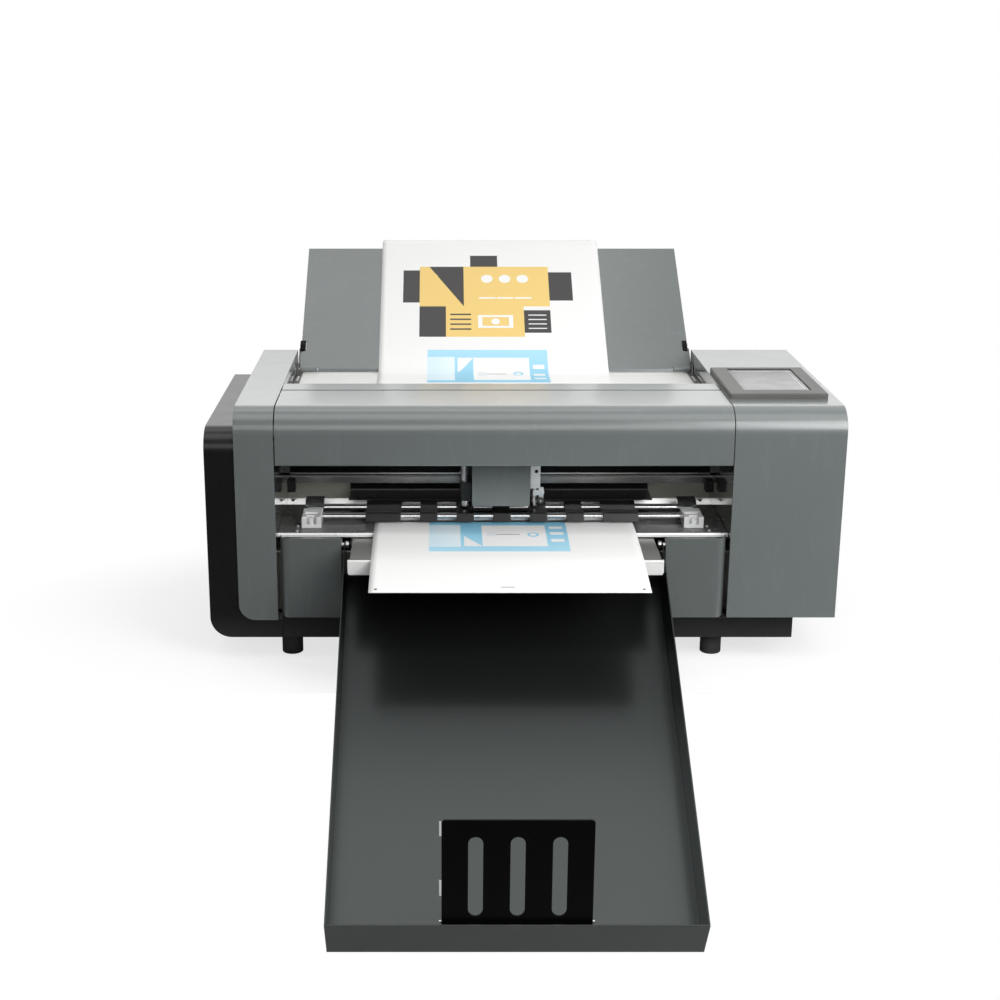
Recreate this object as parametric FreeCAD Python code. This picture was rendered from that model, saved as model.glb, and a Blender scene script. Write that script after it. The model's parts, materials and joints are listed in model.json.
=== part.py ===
# Cutting and creasing plotter: a bench machine that feeds printed card sheets from a rear
# panel, moves them on two pairs of rollers under a creasing tool and a cutting tool,
# and drops the finished sheets into a sloping tray that hangs over the bench edge.
# Millimetres. X to the right, Y to the back, Z up.
# The origin is on the bench, midway between the four feet.
import FreeCAD, Part
import math
import os
from FreeCAD import Vector

os.makedirs("parts", exist_ok=True)

# Body of the machine
FRONT = -185.0
DEPTH = 369.0
REAR = FRONT + DEPTH
TOP = 315.0
FOOT_HEIGHT = 28.0
BASE_TOP = 54.0
BASE_LEFT = -269.0
BASE_RIGHT = 356.0
OPENING_LEFT = -275.0
OPENING_RIGHT = 274.0
COVER = 1.7
TOP_BEND = 30.0
CLEAR = 0.3

# Covers at the two ends
END_LEFT = -359.0
END_TOP = 290.0
END_DEPTH = 322.0
END_CORNER = 26.0
BAND_LEFT = -323.0
BAND_BOTTOM = 51.0
BAND_CORNER = 20.0
HOUSING_RIGHT = 407.0
HOUSING_BOTTOM = 54.5
PANEL_CURL = 12.0

# Side plates that carry the shafts and the beam
PLATE = 3.0
PLATE_LEFT = OPENING_LEFT - 0.5
PLATE_RIGHT = OPENING_RIGHT + 0.5
SPAN_LEFT = PLATE_LEFT + 0.2
SPAN_RIGHT = PLATE_RIGHT - 0.2
PLATE_TOP = TOP - COVER - 0.5

# Lid
LID_LEFT = OPENING_LEFT + 1.0
LID_RIGHT = OPENING_RIGHT - 1.0
LID_BOTTOM = 246.4
LID_REAR = FRONT + 108.0
LID_PIN_Y = LID_REAR - 1.0
LID_PIN_Z = TOP - 4.5
LID_PIN_R = 1.6
LID_BOSS_R = 4.0
STRIP_FRONT = LID_REAR + 4.6
STRIP_REAR = FRONT + 150.0

# Table and the path of the sheet
TABLE = 158.0
TABLE_FRONT = FRONT + 16.0
TABLE_REAR = -47.5
TABLE_SHEET = 1.5
PANEL_TOP = TABLE - 2.0
SCREW_ROWS = (-161.5, -143.0)
DECK = 286.0
DECK_FRONT = 70.0
CHUTE_FOOT = -19.0
MEDIA_WIDTH = 320.0
MEDIA = 0.4
SHEET_X = 2.0
FEED_SHEET_X = -2.5

# Rollers and shafts
ROLLER_ROWS = {"front": -118.0, "rear": -79.0}
DRIVE_R = 12.0
DRIVE_Z = TABLE - CLEAR - DRIVE_R
SHAFT_R = 5.0
PINCH_R = 5.25
PINCH_Z = TABLE + MEDIA + CLEAR + PINCH_R
PINCH_SHAFT_R = 4.5
PINCH_REACH = 243.0
GRIP_PITCH = 45.5
GRIPS = [-145.0, -2 * GRIP_PITCH, -GRIP_PITCH, 0.0, GRIP_PITCH, 2 * GRIP_PITCH, 145.0]
GRIP_LENGTH = 18.0
RUNNING = 0.05
BUSH_R = 8.0
PULLEY_R = 14.0
MOTOR_PULLEY_R = 9.0
FEED_MOTOR_Y = -98.5
FEED_MOTOR_Z = 92.0
BELT_X = -296.0
BELT_WIDTH = 8.0
BELT = 1.5
PICKUP_Y = 27.2
PICKUP_Z = 251.7
PICKUP_R = 15.0

# Paper guides
GUIDE_HALF = 169.5
GUIDE_TOP = 170.5
GUIDE = 1.0
GUIDE_LIP = 12.0
WINDOWS = [GRIP_PITCH * (i + 0.5) for i in range(-3, 3)]
WINDOW = 24.0

# Beam, rail, belt and carriage
BEAM_FRONT = -52.0
BEAM_REAR = -22.0
BEAM_BOTTOM = 188.2
BEAM_TOP = 236.0
RAIL_BOTTOM = 201.7
RAIL_HEIGHT = 12.0
RAIL_THICK = 8.0
X_PULLEY_R = 12.0
X_PULLEY_Y = -36.0
X_PULLEY_Z = 241.0
X_PULLEY_WIDTH = 9.0
X_IDLER_X = -258.0
X_MOTOR_X = 315.0
TRAVEL = 215.0
CARRIAGE_HALF = 46.0
CARRIAGE_FRONT = -128.0
CARRIAGE_PLATE_FRONT = -71.0
CARRIAGE_BOTTOM = 180.0
COVER_LEFT = -37.4
COVER_RIGHT = 34.0
TOOL_Y = -100.0
CREASE_X = -46.5
CUT_X = 41.0
TOOL_TIP = 169.0

# Feeder panel
FEED_SLOPE = math.radians(34.0)
FEED_PIN_Y = 167.0
FEED_PIN_Z = 290.8
FEED_LENGTH = 249.0
FEED_LEFT = -272.0
FEED_RIGHT = 271.8
FEED_SHEET = 1.5

# Exit ramp
RAMP_HALF = 185.5
RAMP_FRONT = FRONT - 65.0
RAMP_LIP = 18.0
RAMP_TOP = 150.4

# Output tray, which hangs from two screws
TRAY_SLOPE = math.radians(30.75)
TRAY_PIN_Y = FRONT + 5.0
TRAY_PIN_Z = 147.0
TRAY_LENGTH = 510.0
TRAY_HALF = 193.0
TRAY_WALL = 55.0
TRAY_RISE = 5.0
TRAY_SHEET = 1.5

# Stop plate in the tray
STOP_LEFT = -75.6
STOP_WIDTH = 151.6
STOP_HEIGHT = 114.9
STOP_SLOT = 14.8
STOP_SLOT_FOOT = 8.75
STOP_SLOT_LENGTH = 87.5
STOP_PITCH = 41.9
STOP_FACE = 4.4
STOP_PIN_R = 1.5

# Rail in front of the rollers, on which the tray leans
FRONT_RAIL_Y = -157.5
FRONT_RAIL_TOP = 132.0

# Touch screen
SCREEN_LEFT = 276.0
SCREEN_RIGHT = 395.5
SCREEN_FRONT = -125.0
SCREEN_REAR = 31.0
SCREEN_HEIGHT = 7.0
GLASS_LEFT = 296.0
GLASS_RIGHT = 379.0
GLASS_FRONT = -104.5
GLASS_REAR = 22.5


def box(x0, x1, y0, y1, z0, z1):
    return Part.makeBox(x1 - x0, y1 - y0, z1 - z0, Vector(x0, y0, z0))


def rod_x(x0, x1, y, z, r):
    return Part.makeCylinder(r, x1 - x0, Vector(x0, y, z), Vector(1, 0, 0))


def rod_y(x, y0, y1, z, r):
    return Part.makeCylinder(r, y1 - y0, Vector(x, y0, z), Vector(0, 1, 0))


def rod_z(x, y, z0, z1, r):
    return Part.makeCylinder(r, z1 - z0, Vector(x, y, z0), Vector(0, 0, 1))


def group(shapes):
    # Separate solids that share one node
    return Part.makeCompound(shapes)


def joined(shapes):
    first = shapes[0]
    return first.fuse(shapes[1:]).removeSplitter() if len(shapes) > 1 else first


def cut(shape, tools):
    return shape.cut(Part.makeCompound(tools)) if tools else shape


def place(plane, u, v, w):
    # A point of a drawing in one plane, at distance w along the third axis
    if plane == "yz":
        return Vector(w, u, v)
    if plane == "xz":
        return Vector(u, w, v)
    return Vector(u, v, w)


def outline(plane, corners, w):
    # Closed wire through corners (u, v) or (u, v, radius), the radii as true arcs
    count = len(corners)
    stops = []
    for i in range(count):
        u, v = corners[i][0], corners[i][1]
        r = corners[i][2] if len(corners[i]) > 2 else 0.0
        if r <= 0:
            stops.append(((u, v), None, (u, v)))
            continue
        before, after = corners[i - 1], corners[(i + 1) % count]
        a = unit(before[0] - u, before[1] - v)
        b = unit(after[0] - u, after[1] - v)
        half = math.acos(max(-1.0, min(1.0, a[0] * b[0] + a[1] * b[1]))) / 2
        reach = r / math.tan(half)
        start = (u + a[0] * reach, v + a[1] * reach)
        end = (u + b[0] * reach, v + b[1] * reach)
        m = unit(a[0] + b[0], a[1] + b[1])
        depth = r / math.sin(half) - r
        stops.append((start, (u + m[0] * depth, v + m[1] * depth), end))
    edges = []
    for i in range(count):
        start, middle, end = stops[i]
        if middle:
            points = [place(plane, p[0], p[1], w) for p in (start, middle, end)]
            edges.append(Part.Arc(*points).toShape())
        there = stops[(i + 1) % count][0]
        p, q = place(plane, end[0], end[1], w), place(plane, there[0], there[1], w)
        if p.distanceToPoint(q) > 1e-6:
            edges.append(Part.LineSegment(p, q).toShape())
    return Part.Wire(edges)


def unit(u, v):
    length = math.hypot(u, v)
    return u / length, v / length


def prism(plane, corners, w0, w1):
    # The drawing pushed from w0 to w1 along the third axis
    way = place(plane, 0, 0, w1 - w0)
    return Part.Face(outline(plane, corners, w0)).extrude(way)


def folded(plane, path, thick, w0, w1):
    # A bent sheet: path is one of its faces, (u, v) or (u, v, inner radius) at the bends,
    # and the metal lies on the left of the path (on the right if thick is negative)
    side = 1.0 if thick > 0 else -1.0
    t = abs(thick)
    last = len(path) - 1
    near, far = [], []
    for i, corner in enumerate(path):
        u, v = corner[0], corner[1]
        r = corner[2] if len(corner) > 2 else 0.0
        if i > 0:
            a = unit(u - path[i - 1][0], v - path[i - 1][1])
        if i < last:
            b = unit(path[i + 1][0] - u, path[i + 1][1] - v)
        if i == 0:
            a = b
        if i == last:
            b = a
        n1 = (-a[1] * side, a[0] * side)
        n2 = (-b[1] * side, b[0] * side)
        stretch = t / (1 + n1[0] * n2[0] + n1[1] * n2[1])
        toward = (a[0] * b[1] - a[1] * b[0]) * side > 0
        near.append((u, v, r + t if toward and r else r))
        far.append((u + (n1[0] + n2[0]) * stretch, v + (n1[1] + n2[1]) * stretch,
                    r if toward else (r + t if r else 0.0)))
    return prism(plane, near + far[::-1], w0, w1)


def belt_loop(plane, wheels, gap, thick, w0, w1):
    # A flat belt round wheels (u, v, radius) given clockwise as seen with u right and v up
    def hull(grow):
        edges = []
        count = len(wheels)
        ends = []
        for i in range(count):
            u0, v0, r0 = wheels[i]
            u1, v1, r1 = wheels[(i + 1) % count]
            r0, r1 = r0 + grow, r1 + grow
            d = unit(u1 - u0, v1 - v0)
            tilt = math.asin((r0 - r1) / math.hypot(u1 - u0, v1 - v0))
            n = (-d[1] * math.cos(tilt) + d[0] * math.sin(tilt),
                 d[0] * math.cos(tilt) + d[1] * math.sin(tilt))
            ends.append(((u0 + n[0] * r0, v0 + n[1] * r0), (u1 + n[0] * r1, v1 + n[1] * r1), n))
        for i in range(count):
            u1, v1, r1 = wheels[(i + 1) % count]
            start, end, n = ends[i]
            following = ends[(i + 1) % count]
            m = unit(end[0] - start[0], end[1] - start[1])
            if n[0] * following[2][0] + n[1] * following[2][1] > -0.999:
                m = unit(n[0] + following[2][0], n[1] + following[2][1])
            edges.append(Part.LineSegment(place(plane, *start, w0), place(plane, *end, w0)).toShape())
            top = (u1 + m[0] * (r1 + grow), v1 + m[1] * (r1 + grow))
            edges.append(Part.Arc(place(plane, *end, w0), place(plane, *top, w0),
                                  place(plane, *following[0], w0)).toShape())
        way = place(plane, 0, 0, w1 - w0)
        return Part.Face(Part.Wire(edges)).extrude(way)
    return hull(gap + thick).cut(hull(gap))


def screw_z(x, y, z, head_r, head_h, shank_r, length):
    # Pan screw with its head above z and a cross recess
    head = rod_z(x, y, z, z + head_h, head_r)
    head = head.makeFillet(head_h * 0.45, [head.Edges[0]])
    shank = rod_z(x, y, z - length, z, shank_r)
    recess = [box(x - head_r * 0.5, x + head_r * 0.5, y - 0.3, y + 0.3, z + head_h - 0.8,
                  z + head_h + 1),
              box(x - 0.3, x + 0.3, y - head_r * 0.5, y + head_r * 0.5, z + head_h - 0.8,
                  z + head_h + 1)]
    return cut(joined([head, shank]), recess)


# Base and frame

FEET = [(sx * 261.0, sy * 157.0) for sx in (-1, 1) for sy in (-1, 1)]
STAND_HOLES = [(sx * 220.0, sy * 120.0) for sx in (-1, 1) for sy in (-1, 1)]
STAND_HOLE_R = 3.25


def base_frame():
    floor = 2.0
    pan = box(BASE_LEFT, BASE_RIGHT, FRONT + 2, REAR - 2, FOOT_HEIGHT, BASE_TOP)
    inside = box(BASE_LEFT + floor, BASE_RIGHT - floor, FRONT + 4, REAR - 4,
                 FOOT_HEIGHT + floor, BASE_TOP - floor)
    mouth = box(BASE_LEFT + 14, BASE_RIGHT - 14, FRONT + 16, REAR - 16, BASE_TOP - 3, BASE_TOP + 1)
    holes = [rod_z(x, y, 20, 40, 2.7) for x, y in FEET]
    holes += [rod_z(x, y, 20, 40, STAND_HOLE_R) for x, y in STAND_HOLES]
    vents = [box(40 + 14 * i, 46 + 14 * i, -40, 60, 20, 40) for i in range(8)]
    return cut(pan, [inside, mouth] + holes + vents)


def rubber_feet():
    feet = []
    for x, y in FEET:
        foot = rod_z(x, y, 0, FOOT_HEIGHT, 13.0)
        foot = foot.makeFillet(1.5, [foot.Edges[2]])
        feet.append(cut(foot, [rod_z(x, y, -1, 8, 6.5), rod_z(x, y, 0, 30, 2.7)]))
    return group(feet)


def foot_screws():
    solids = []
    for x, y in FEET:
        solids.append(joined([rod_z(x, y, 4.5, 8, 5.0), rod_z(x, y, 8, 36, 2.5)]))
        nut = [(x + 4.6 * math.cos(math.radians(60 * k)), y + 4.6 * math.sin(math.radians(60 * k)))
               for k in range(6)]
        solids.append(cut(prism("xy", nut, 30, 34), [rod_z(x, y, 29, 35, 2.55)]))
    return group(solids)


def side_plate(x0):
    plate = prism("yz", [(FRONT + 2.2, BASE_TOP), (REAR - 2, BASE_TOP), (REAR - 2, PLATE_TOP),
                         (FRONT + 2.2, PLATE_TOP, TOP_BEND - 2)], x0, x0 + PLATE)
    holes = [rod_x(x0 - 1, x0 + PLATE + 1, y, DRIVE_Z, BUSH_R) for y in ROLLER_ROWS.values()]
    holes.append(rod_x(x0 - 1, x0 + PLATE + 1, PICKUP_Y, PICKUP_Z, BUSH_R))
    holes.append(rod_x(x0 - 1, x0 + PLATE + 1, LID_PIN_Y, LID_PIN_Z, LID_PIN_R))
    return cut(plate, holes)


def side_plate_left():
    boss = rod_x(PLATE_LEFT - PLATE - 1, PLATE_LEFT + 1, FEED_MOTOR_Y, FEED_MOTOR_Z, 12.0)
    return cut(side_plate(PLATE_LEFT - PLATE), [boss])


def side_plate_right():
    window = box(PLATE_RIGHT - 1, PLATE_RIGHT + PLATE + 1, -54, -18, 238.5, 254)
    return cut(side_plate(PLATE_RIGHT), [window])


def cross_rail(y0, y1, top, flange_back):
    # Channel between the side plates, its open side to the back or the front
    back = y1 if flange_back else y0
    face = y0 if flange_back else y1
    path = [(back, BASE_TOP), (face, BASE_TOP, 1.0), (face, top, 1.0), (back, top)]
    return folded("yz", path, -1.5 if flange_back else 1.5, SPAN_LEFT, SPAN_RIGHT)


def front_cross_rail():
    return cross_rail(FRONT_RAIL_Y, -134.0, FRONT_RAIL_TOP, True)


def rear_cross_rail():
    return cross_rail(130.0, 160.0, 100.0, False)


def shaft_bearings():
    # Flanged bushes of the drive shafts and of the pickup shaft
    bushes = []
    seats = [(y, DRIVE_Z) for y in ROLLER_ROWS.values()] + [(PICKUP_Y, PICKUP_Z)]
    for y, z in seats:
        for x0, outer in ((PLATE_LEFT - PLATE, -1), (PLATE_RIGHT, 1)):
            sleeve = rod_x(x0, x0 + PLATE, y, z, BUSH_R - 0.02)
            flange_x = x0 - 1.5 if outer < 0 else x0 + PLATE
            flange = rod_x(flange_x, flange_x + 1.5, y, z, BUSH_R + 2)
            bore = rod_x(x0 - 5, x0 + PLATE + 5, y, z, SHAFT_R + RUNNING)
            bushes.append(cut(joined([sleeve, flange]), [bore]))
    return group(bushes)


# Covers

def left_end_cover():
    rear = FRONT + END_DEPTH
    front = FRONT + COVER + 0.3
    seam = PLATE_LEFT - PLATE - 0.2
    foot_top = BAND_BOTTOM + 2
    shell = prism("xz", [(END_LEFT, FOOT_HEIGHT, END_CORNER), (BASE_LEFT - 0.4, FOOT_HEIGHT),
                         (BASE_LEFT - 0.4, foot_top), (seam, foot_top), (seam, END_TOP),
                         (END_LEFT, END_TOP)], front, rear)
    side = prism("yz", [(front, FOOT_HEIGHT), (rear, FOOT_HEIGHT), (rear, END_TOP),
                        (front, END_TOP, TOP_BEND - 2)], END_LEFT - 1, BASE_LEFT + 1)
    hollow = prism("xz", [(END_LEFT + 2, FOOT_HEIGHT + 2, END_CORNER - 2), (seam + 1, FOOT_HEIGHT + 2),
                          (seam + 1, END_TOP - 2), (END_LEFT + 2, END_TOP - 2)], front + 2, rear - 2)
    room = [(front + 2, FOOT_HEIGHT), (rear - 2, FOOT_HEIGHT), (rear - 2, END_TOP - 2),
            (front + 2, END_TOP - 2, TOP_BEND - 4)]
    hollow = hollow.common(prism("yz", room, END_LEFT - 1, BASE_LEFT + 1))
    toe = box(seam - 3, BASE_LEFT + 1, front + 2, rear - 2, FOOT_HEIGHT + 2, foot_top - 2)
    slots = [box(END_LEFT - 1, END_LEFT + 3, 20 + 12 * i, 24 + 12 * i, 80, 140) for i in range(8)]
    return cut(shell.common(side), [hollow, toe] + slots)


def arch(x0, x1, bottom):
    # Front, top and rear walls of a cover, bent from one sheet
    outer = prism("yz", [(FRONT, bottom), (REAR, bottom), (REAR, TOP), (FRONT, TOP, TOP_BEND)], x0, x1)
    inner = prism("yz", [(FRONT + COVER, bottom - 1), (REAR - COVER, bottom - 1),
                         (REAR - COVER, TOP - COVER), (FRONT + COVER, TOP - COVER, TOP_BEND - COVER)],
                  x0, x1)
    return outer, inner


def left_side_cover():
    outer, inner = arch(BAND_LEFT, OPENING_LEFT - 0.5, BAND_BOTTOM)
    inner = inner.common(box(BAND_LEFT + COVER, 0, FRONT, REAR, 0, TOP))
    corner = prism("xz", [(BAND_LEFT, BAND_BOTTOM, BAND_CORNER), (OPENING_LEFT, BAND_BOTTOM),
                          (OPENING_LEFT, TOP), (BAND_LEFT, TOP)], FRONT - 1, REAR + 1)
    end_cover = box(BAND_LEFT - 1, BAND_LEFT + COVER + 1, FRONT + COVER, FRONT + END_DEPTH + CLEAR,
                    0, END_TOP + CLEAR)
    return cut(outer.common(corner), [inner, end_cover])


def right_housing():
    outer, inner = arch(OPENING_RIGHT, HOUSING_RIGHT, HOUSING_BOTTOM)
    inner = inner.common(box(OPENING_RIGHT - 1, HOUSING_RIGHT - COVER, FRONT, REAR, 0, TOP))
    screen = box(GLASS_LEFT - 6, GLASS_RIGHT + 6, GLASS_FRONT - 6, GLASS_REAR + 6, TOP - 5, TOP + 1)
    slots = [box(HOUSING_RIGHT - 3, HOUSING_RIGHT + 1, 60, 130, 90 + 11 * i, 94 + 11 * i)
             for i in range(9)]
    inlet = box(316.5, 343.5, REAR - 3, REAR + 1, 80.5, 99.5)
    rocker = box(352.2, 367.8, REAR - 3, REAR + 1, 79.2, 100.8)
    ports = box(312, 368, REAR - 3, REAR + 1, 128, 152)
    return cut(outer, [inner, screen, inlet, rocker, ports] + slots)


def front_panel(x_out, x_in):
    # Lower front panel: its outer edge curls back, its inner edge has a flange beside the tray
    side = 1.0 if x_out > 0 else -1.0
    path = [(x_in, FRONT), (x_out, FRONT, PANEL_CURL - 1.5), (x_out, FRONT + 14.5)]
    skin = folded("xy", path, side * 1.5, HOUSING_BOTTOM, PANEL_TOP)
    rim = prism("xy", [(x_in, FRONT), (x_out, FRONT, PANEL_CURL), (x_out, FRONT + 14.5),
                       (x_in, FRONT + 14.5)], HOUSING_BOTTOM, HOUSING_BOTTOM + 1.5)
    h0, h1 = sorted((x_in, x_out - side * PANEL_CURL))
    hem = box(h0, h1, FRONT, FRONT + 5, PANEL_TOP - 1.5, PANEL_TOP)
    f0, f1 = sorted((x_in, x_in + side * 1.5))
    flange = box(f0, f1, FRONT, FRONT + 24, HOUSING_BOTTOM, TABLE - 7)
    pin = rod_x(x_in - 3, x_in + 3, TRAY_PIN_Y, TRAY_PIN_Z, 2.5)
    return cut(joined([skin, rim, hem, flange]), [pin])


def front_panel_left():
    return front_panel(-271.5, -196.5)


def front_panel_right():
    return front_panel(270.5, 196.5)


def rear_panel():
    sheet = box(OPENING_LEFT, OPENING_RIGHT - 0.5, REAR - COVER, REAR, BASE_TOP, DECK - 16)
    slots = [box(-200 + 16 * i, -196 + 16 * i, REAR - 3, REAR + 1, 120, 200) for i in range(12)]
    return cut(sheet, slots)


def rear_top_cover():
    # Fixed strip behind the lid, with a gutter under the seam
    x0, x1 = SPAN_LEFT + 4, SPAN_RIGHT - 4
    strip = folded("yz", [(STRIP_FRONT, TOP), (STRIP_REAR, TOP, 1.0), (STRIP_REAR, 299)],
                   -COVER, OPENING_LEFT + 1, OPENING_RIGHT - 1)
    gutter = folded("yz", [(-65.0, TOP - COVER), (-65.0, 301, 1.0), (-84.0, 301)], -1.5, x0, x1)
    return joined([strip, gutter])


# Table, guides and chute

def front_table():
    edge = folded("yz", [(TABLE_FRONT, TABLE - 5), (TABLE_FRONT, TABLE, 1.2), (TABLE_REAR, TABLE)],
                  -TABLE_SHEET, OPENING_LEFT - 0.2, OPENING_RIGHT - 0.2)
    windows = []
    for y in ROLLER_ROWS.values():
        for x in GRIPS:
            windows.append(box(x - 11, x + 11, y - 7, y + 7, TABLE - 3, TABLE + 1))
    groove = box(-GUIDE_HALF, GUIDE_HALF, TOOL_Y - 4, TOOL_Y + 4, TABLE - 0.8, TABLE + 1)
    screws = [rod_z(sx * 252.0, y, TABLE - 8, TABLE + 1, 1.3) for sx in (-1, 1) for y in SCREW_ROWS]
    return cut(edge, windows + [groove] + screws)


def cutting_strip():
    return box(-GUIDE_HALF, GUIDE_HALF, TOOL_Y - 3.95, TOOL_Y + 3.95, TABLE - 0.8, TABLE - 0.05)


def table_screws():
    return group([screw_z(sx * 252.0, y, TABLE, 2.6, 1.6, 1.25, 6)
                  for sx in (-1, 1) for y in SCREW_ROWS])


def guide_bridge(y, rear):
    # Bent guide over one row of pinch rollers, with windows and two feet on the table
    lip = y - GUIDE_LIP
    path = [(lip, TABLE + 2.2), (lip + 5.3, GUIDE_TOP, 1.0), (rear, GUIDE_TOP)]
    sheet = folded("yz", path, -GUIDE, -GUIDE_HALF, GUIDE_HALF)
    feet = [box(sx * 166.5 - 3, sx * 166.5 + 3, y + 5.8, rear, TABLE, GUIDE_TOP - 0.5)
            for sx in (-1, 1)]
    slots = [box(x - WINDOW / 2, x + WINDOW / 2, lip + 0.8, y + 5.5, TABLE, GUIDE_TOP + 2)
             for x in WINDOWS]
    return cut(joined([sheet] + feet), slots)


def front_guide():
    return guide_bridge(ROLLER_ROWS["front"], ROLLER_ROWS["front"] + 8)


def rear_guide():
    return guide_bridge(ROLLER_ROWS["rear"], ROLLER_ROWS["rear"] + 9)


CHUTE_RUN = (DECK_FRONT - CHUTE_FOOT, DECK - TABLE)
CHUTE_WAY = unit(*CHUTE_RUN)
CHUTE_UP = (-CHUTE_WAY[1], CHUTE_WAY[0])


def on_chute(along, above):
    # Point of the chute's cross-section: along it from its foot, and square above it
    return (CHUTE_FOOT + CHUTE_WAY[0] * along + CHUTE_UP[0] * above,
            TABLE + CHUTE_WAY[1] * along + CHUTE_UP[1] * above)


def guide_chute():
    # Upper guide that carries on from the rear guide and follows the chute up
    start = (ROLLER_ROWS["rear"] + 9.5, GUIDE_TOP)
    low = on_chute(10, 11)
    slope = (low[1] - GUIDE_TOP) / CHUTE_WAY[1]
    bend = (low[0] - slope * CHUTE_WAY[0], GUIDE_TOP, 4.0)
    top = on_chute(78, 11)
    sheet = folded("yz", [start, bend, top], GUIDE, -193.5, 193.5)
    spacers = []
    for sx in (-1, 1):
        corners = [on_chute(60, 0.05), on_chute(68, 0.05), on_chute(68, 11.2), on_chute(60, 11.2)]
        x = sx * 188.0
        spacers.append(prism("yz", corners, x - 4, x + 4))
    return joined([sheet] + spacers)


def feed_chute():
    # Lower guide from the deck down to the table
    top = on_chute(math.hypot(*CHUTE_RUN) - 2.4, 0)
    path = [(TABLE_REAR + 1, TABLE), (CHUTE_FOOT, TABLE, 3.0), top]
    sheet = folded("yz", path, -TABLE_SHEET, SPAN_LEFT, SPAN_RIGHT)
    notches = []
    for x in (-268.0, 261.0):
        notches.append(prism("xy", [(x - 4.5, CHUTE_FOOT - 1.6), (x + 4.5, CHUTE_FOOT - 1.6),
                                    (x, CHUTE_FOOT - 17)],
                             TABLE - 4, TABLE + 2))
    return cut(sheet, notches)


def feed_deck():
    path = [(DECK_FRONT, DECK), (REAR - 2.2, DECK, 1.0), (REAR - 2.2, DECK - 14)]
    sheet = folded("yz", path, -TABLE_SHEET, SPAN_LEFT, SPAN_RIGHT)
    return sheet


def exit_ramp():
    # Nearly flat shelf under the table edge, ending in a bright flange with rounded corners
    rear = (-161.0, RAMP_TOP + 1.4)
    front = (RAMP_FRONT, RAMP_TOP, 1.0)
    foot = RAMP_TOP - RAMP_LIP
    ramp = folded("yz", [rear, front, (RAMP_FRONT - 1.5, foot)], 1.2, -RAMP_HALF, RAMP_HALF)
    shape = prism("xz", [(-RAMP_HALF, foot - 0.5, 4.0), (RAMP_HALF, foot - 0.5, 4.0),
                         (RAMP_HALF, 160), (-RAMP_HALF, 160)], -300, -150)
    trims = [box(x, x + 3.5, RAMP_FRONT + 3, -155, RAMP_TOP - 4, 156)
             for x in (-RAMP_HALF - 1, RAMP_HALF - 2.5)]
    return cut(ramp.common(shape), trims)


def ramp_brackets():
    # Two bars that carry the ramp from the front rail
    bars = []
    for x in (-120.0, 120.0):
        bars.append(box(x - 6, x + 6, -156.0, -153.0, FRONT_RAIL_TOP, RAMP_TOP - 2))
        bars.append(box(x - 6, x + 6, -181.5, -153.0, RAMP_TOP - 2, RAMP_TOP - 0.2))
    return group([joined(bars[0:2]), joined(bars[2:4])])


# Rollers and their drive

def drive_shaft(row):
    # Steel shaft, from its pulley at the left to the right side plate
    y = ROLLER_ROWS[row]
    return rod_x(BELT_X - BELT_WIDTH - 3, PLATE_RIGHT + PLATE + 3, y, DRIVE_Z, SHAFT_R)


def drive_rollers(row):
    y = ROLLER_ROWS[row]
    rollers = []
    for x in GRIPS:
        half = GRIP_LENGTH / 2
        rollers.append(rod_x(x - half, x + half, y, DRIVE_Z, DRIVE_R).cut(
            rod_x(x - half - 1, x + half + 1, y, DRIVE_Z, SHAFT_R)))
    return group(rollers)


def toothed_pulley(axis, centre, start, width, r, bore_r):
    # Flanged timing pulley with tooth gaps round the rim
    teeth = max(12, int(2 * math.pi * r / 5))
    make = {"x": rod_x, "z": rod_z}[axis]
    p, q = centre

    def disc(a, b, radius):
        return make(a, b, p, q, radius) if axis == "x" else make(p, q, a, b, radius)

    wheel = disc(start + 1, start + width - 1, r)
    gaps = []
    for k in range(teeth):
        angle = 2 * math.pi * k / teeth
        u, v = p + r * math.cos(angle), q + r * math.sin(angle)
        gaps.append(make(start, start + width, u, v, 0.9) if axis == "x"
                    else make(u, v, start, start + width, 0.9))
    wheel = cut(wheel, gaps)
    rims = [disc(start, start + 1, r + 2.2), disc(start + width - 1, start + width, r + 2.2)]
    hub = disc(start - 0.01, start + width + 0.01, bore_r)
    return cut(joined([wheel] + rims), [hub])


def drive_pulley(row):
    return toothed_pulley("x", (ROLLER_ROWS[row], DRIVE_Z), BELT_X - BELT_WIDTH - 2, BELT_WIDTH + 4,
                          PULLEY_R, SHAFT_R)


def feed_motor():
    x0 = PLATE_LEFT
    body = box(x0, x0 + 52, FEED_MOTOR_Y - 28, FEED_MOTOR_Y + 28, FEED_MOTOR_Z - 28, FEED_MOTOR_Z + 28)
    pilot = rod_x(x0 - 2, x0, FEED_MOTOR_Y, FEED_MOTOR_Z, 11.8)
    return cut(joined([body, pilot]), [rod_x(x0 - 5, x0 + 20, FEED_MOTOR_Y, FEED_MOTOR_Z, 3.25)])


def feed_motor_shaft():
    return rod_x(BELT_X - BELT_WIDTH - 3, PLATE_LEFT + 18, FEED_MOTOR_Y, FEED_MOTOR_Z, 3.2)


def feed_motor_pulley():
    return toothed_pulley("x", (FEED_MOTOR_Y, FEED_MOTOR_Z), BELT_X - BELT_WIDTH - 2, BELT_WIDTH + 4,
                          MOTOR_PULLEY_R, 3.2)


def feed_belt():
    wheels = [(ROLLER_ROWS["front"], DRIVE_Z, PULLEY_R), (ROLLER_ROWS["rear"], DRIVE_Z, PULLEY_R),
              (FEED_MOTOR_Y, FEED_MOTOR_Z, MOTOR_PULLEY_R)]
    x0 = BELT_X - BELT_WIDTH + 0.5
    return belt_loop("yz", wheels, CLEAR, BELT, x0, x0 + BELT_WIDTH - 1)


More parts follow.
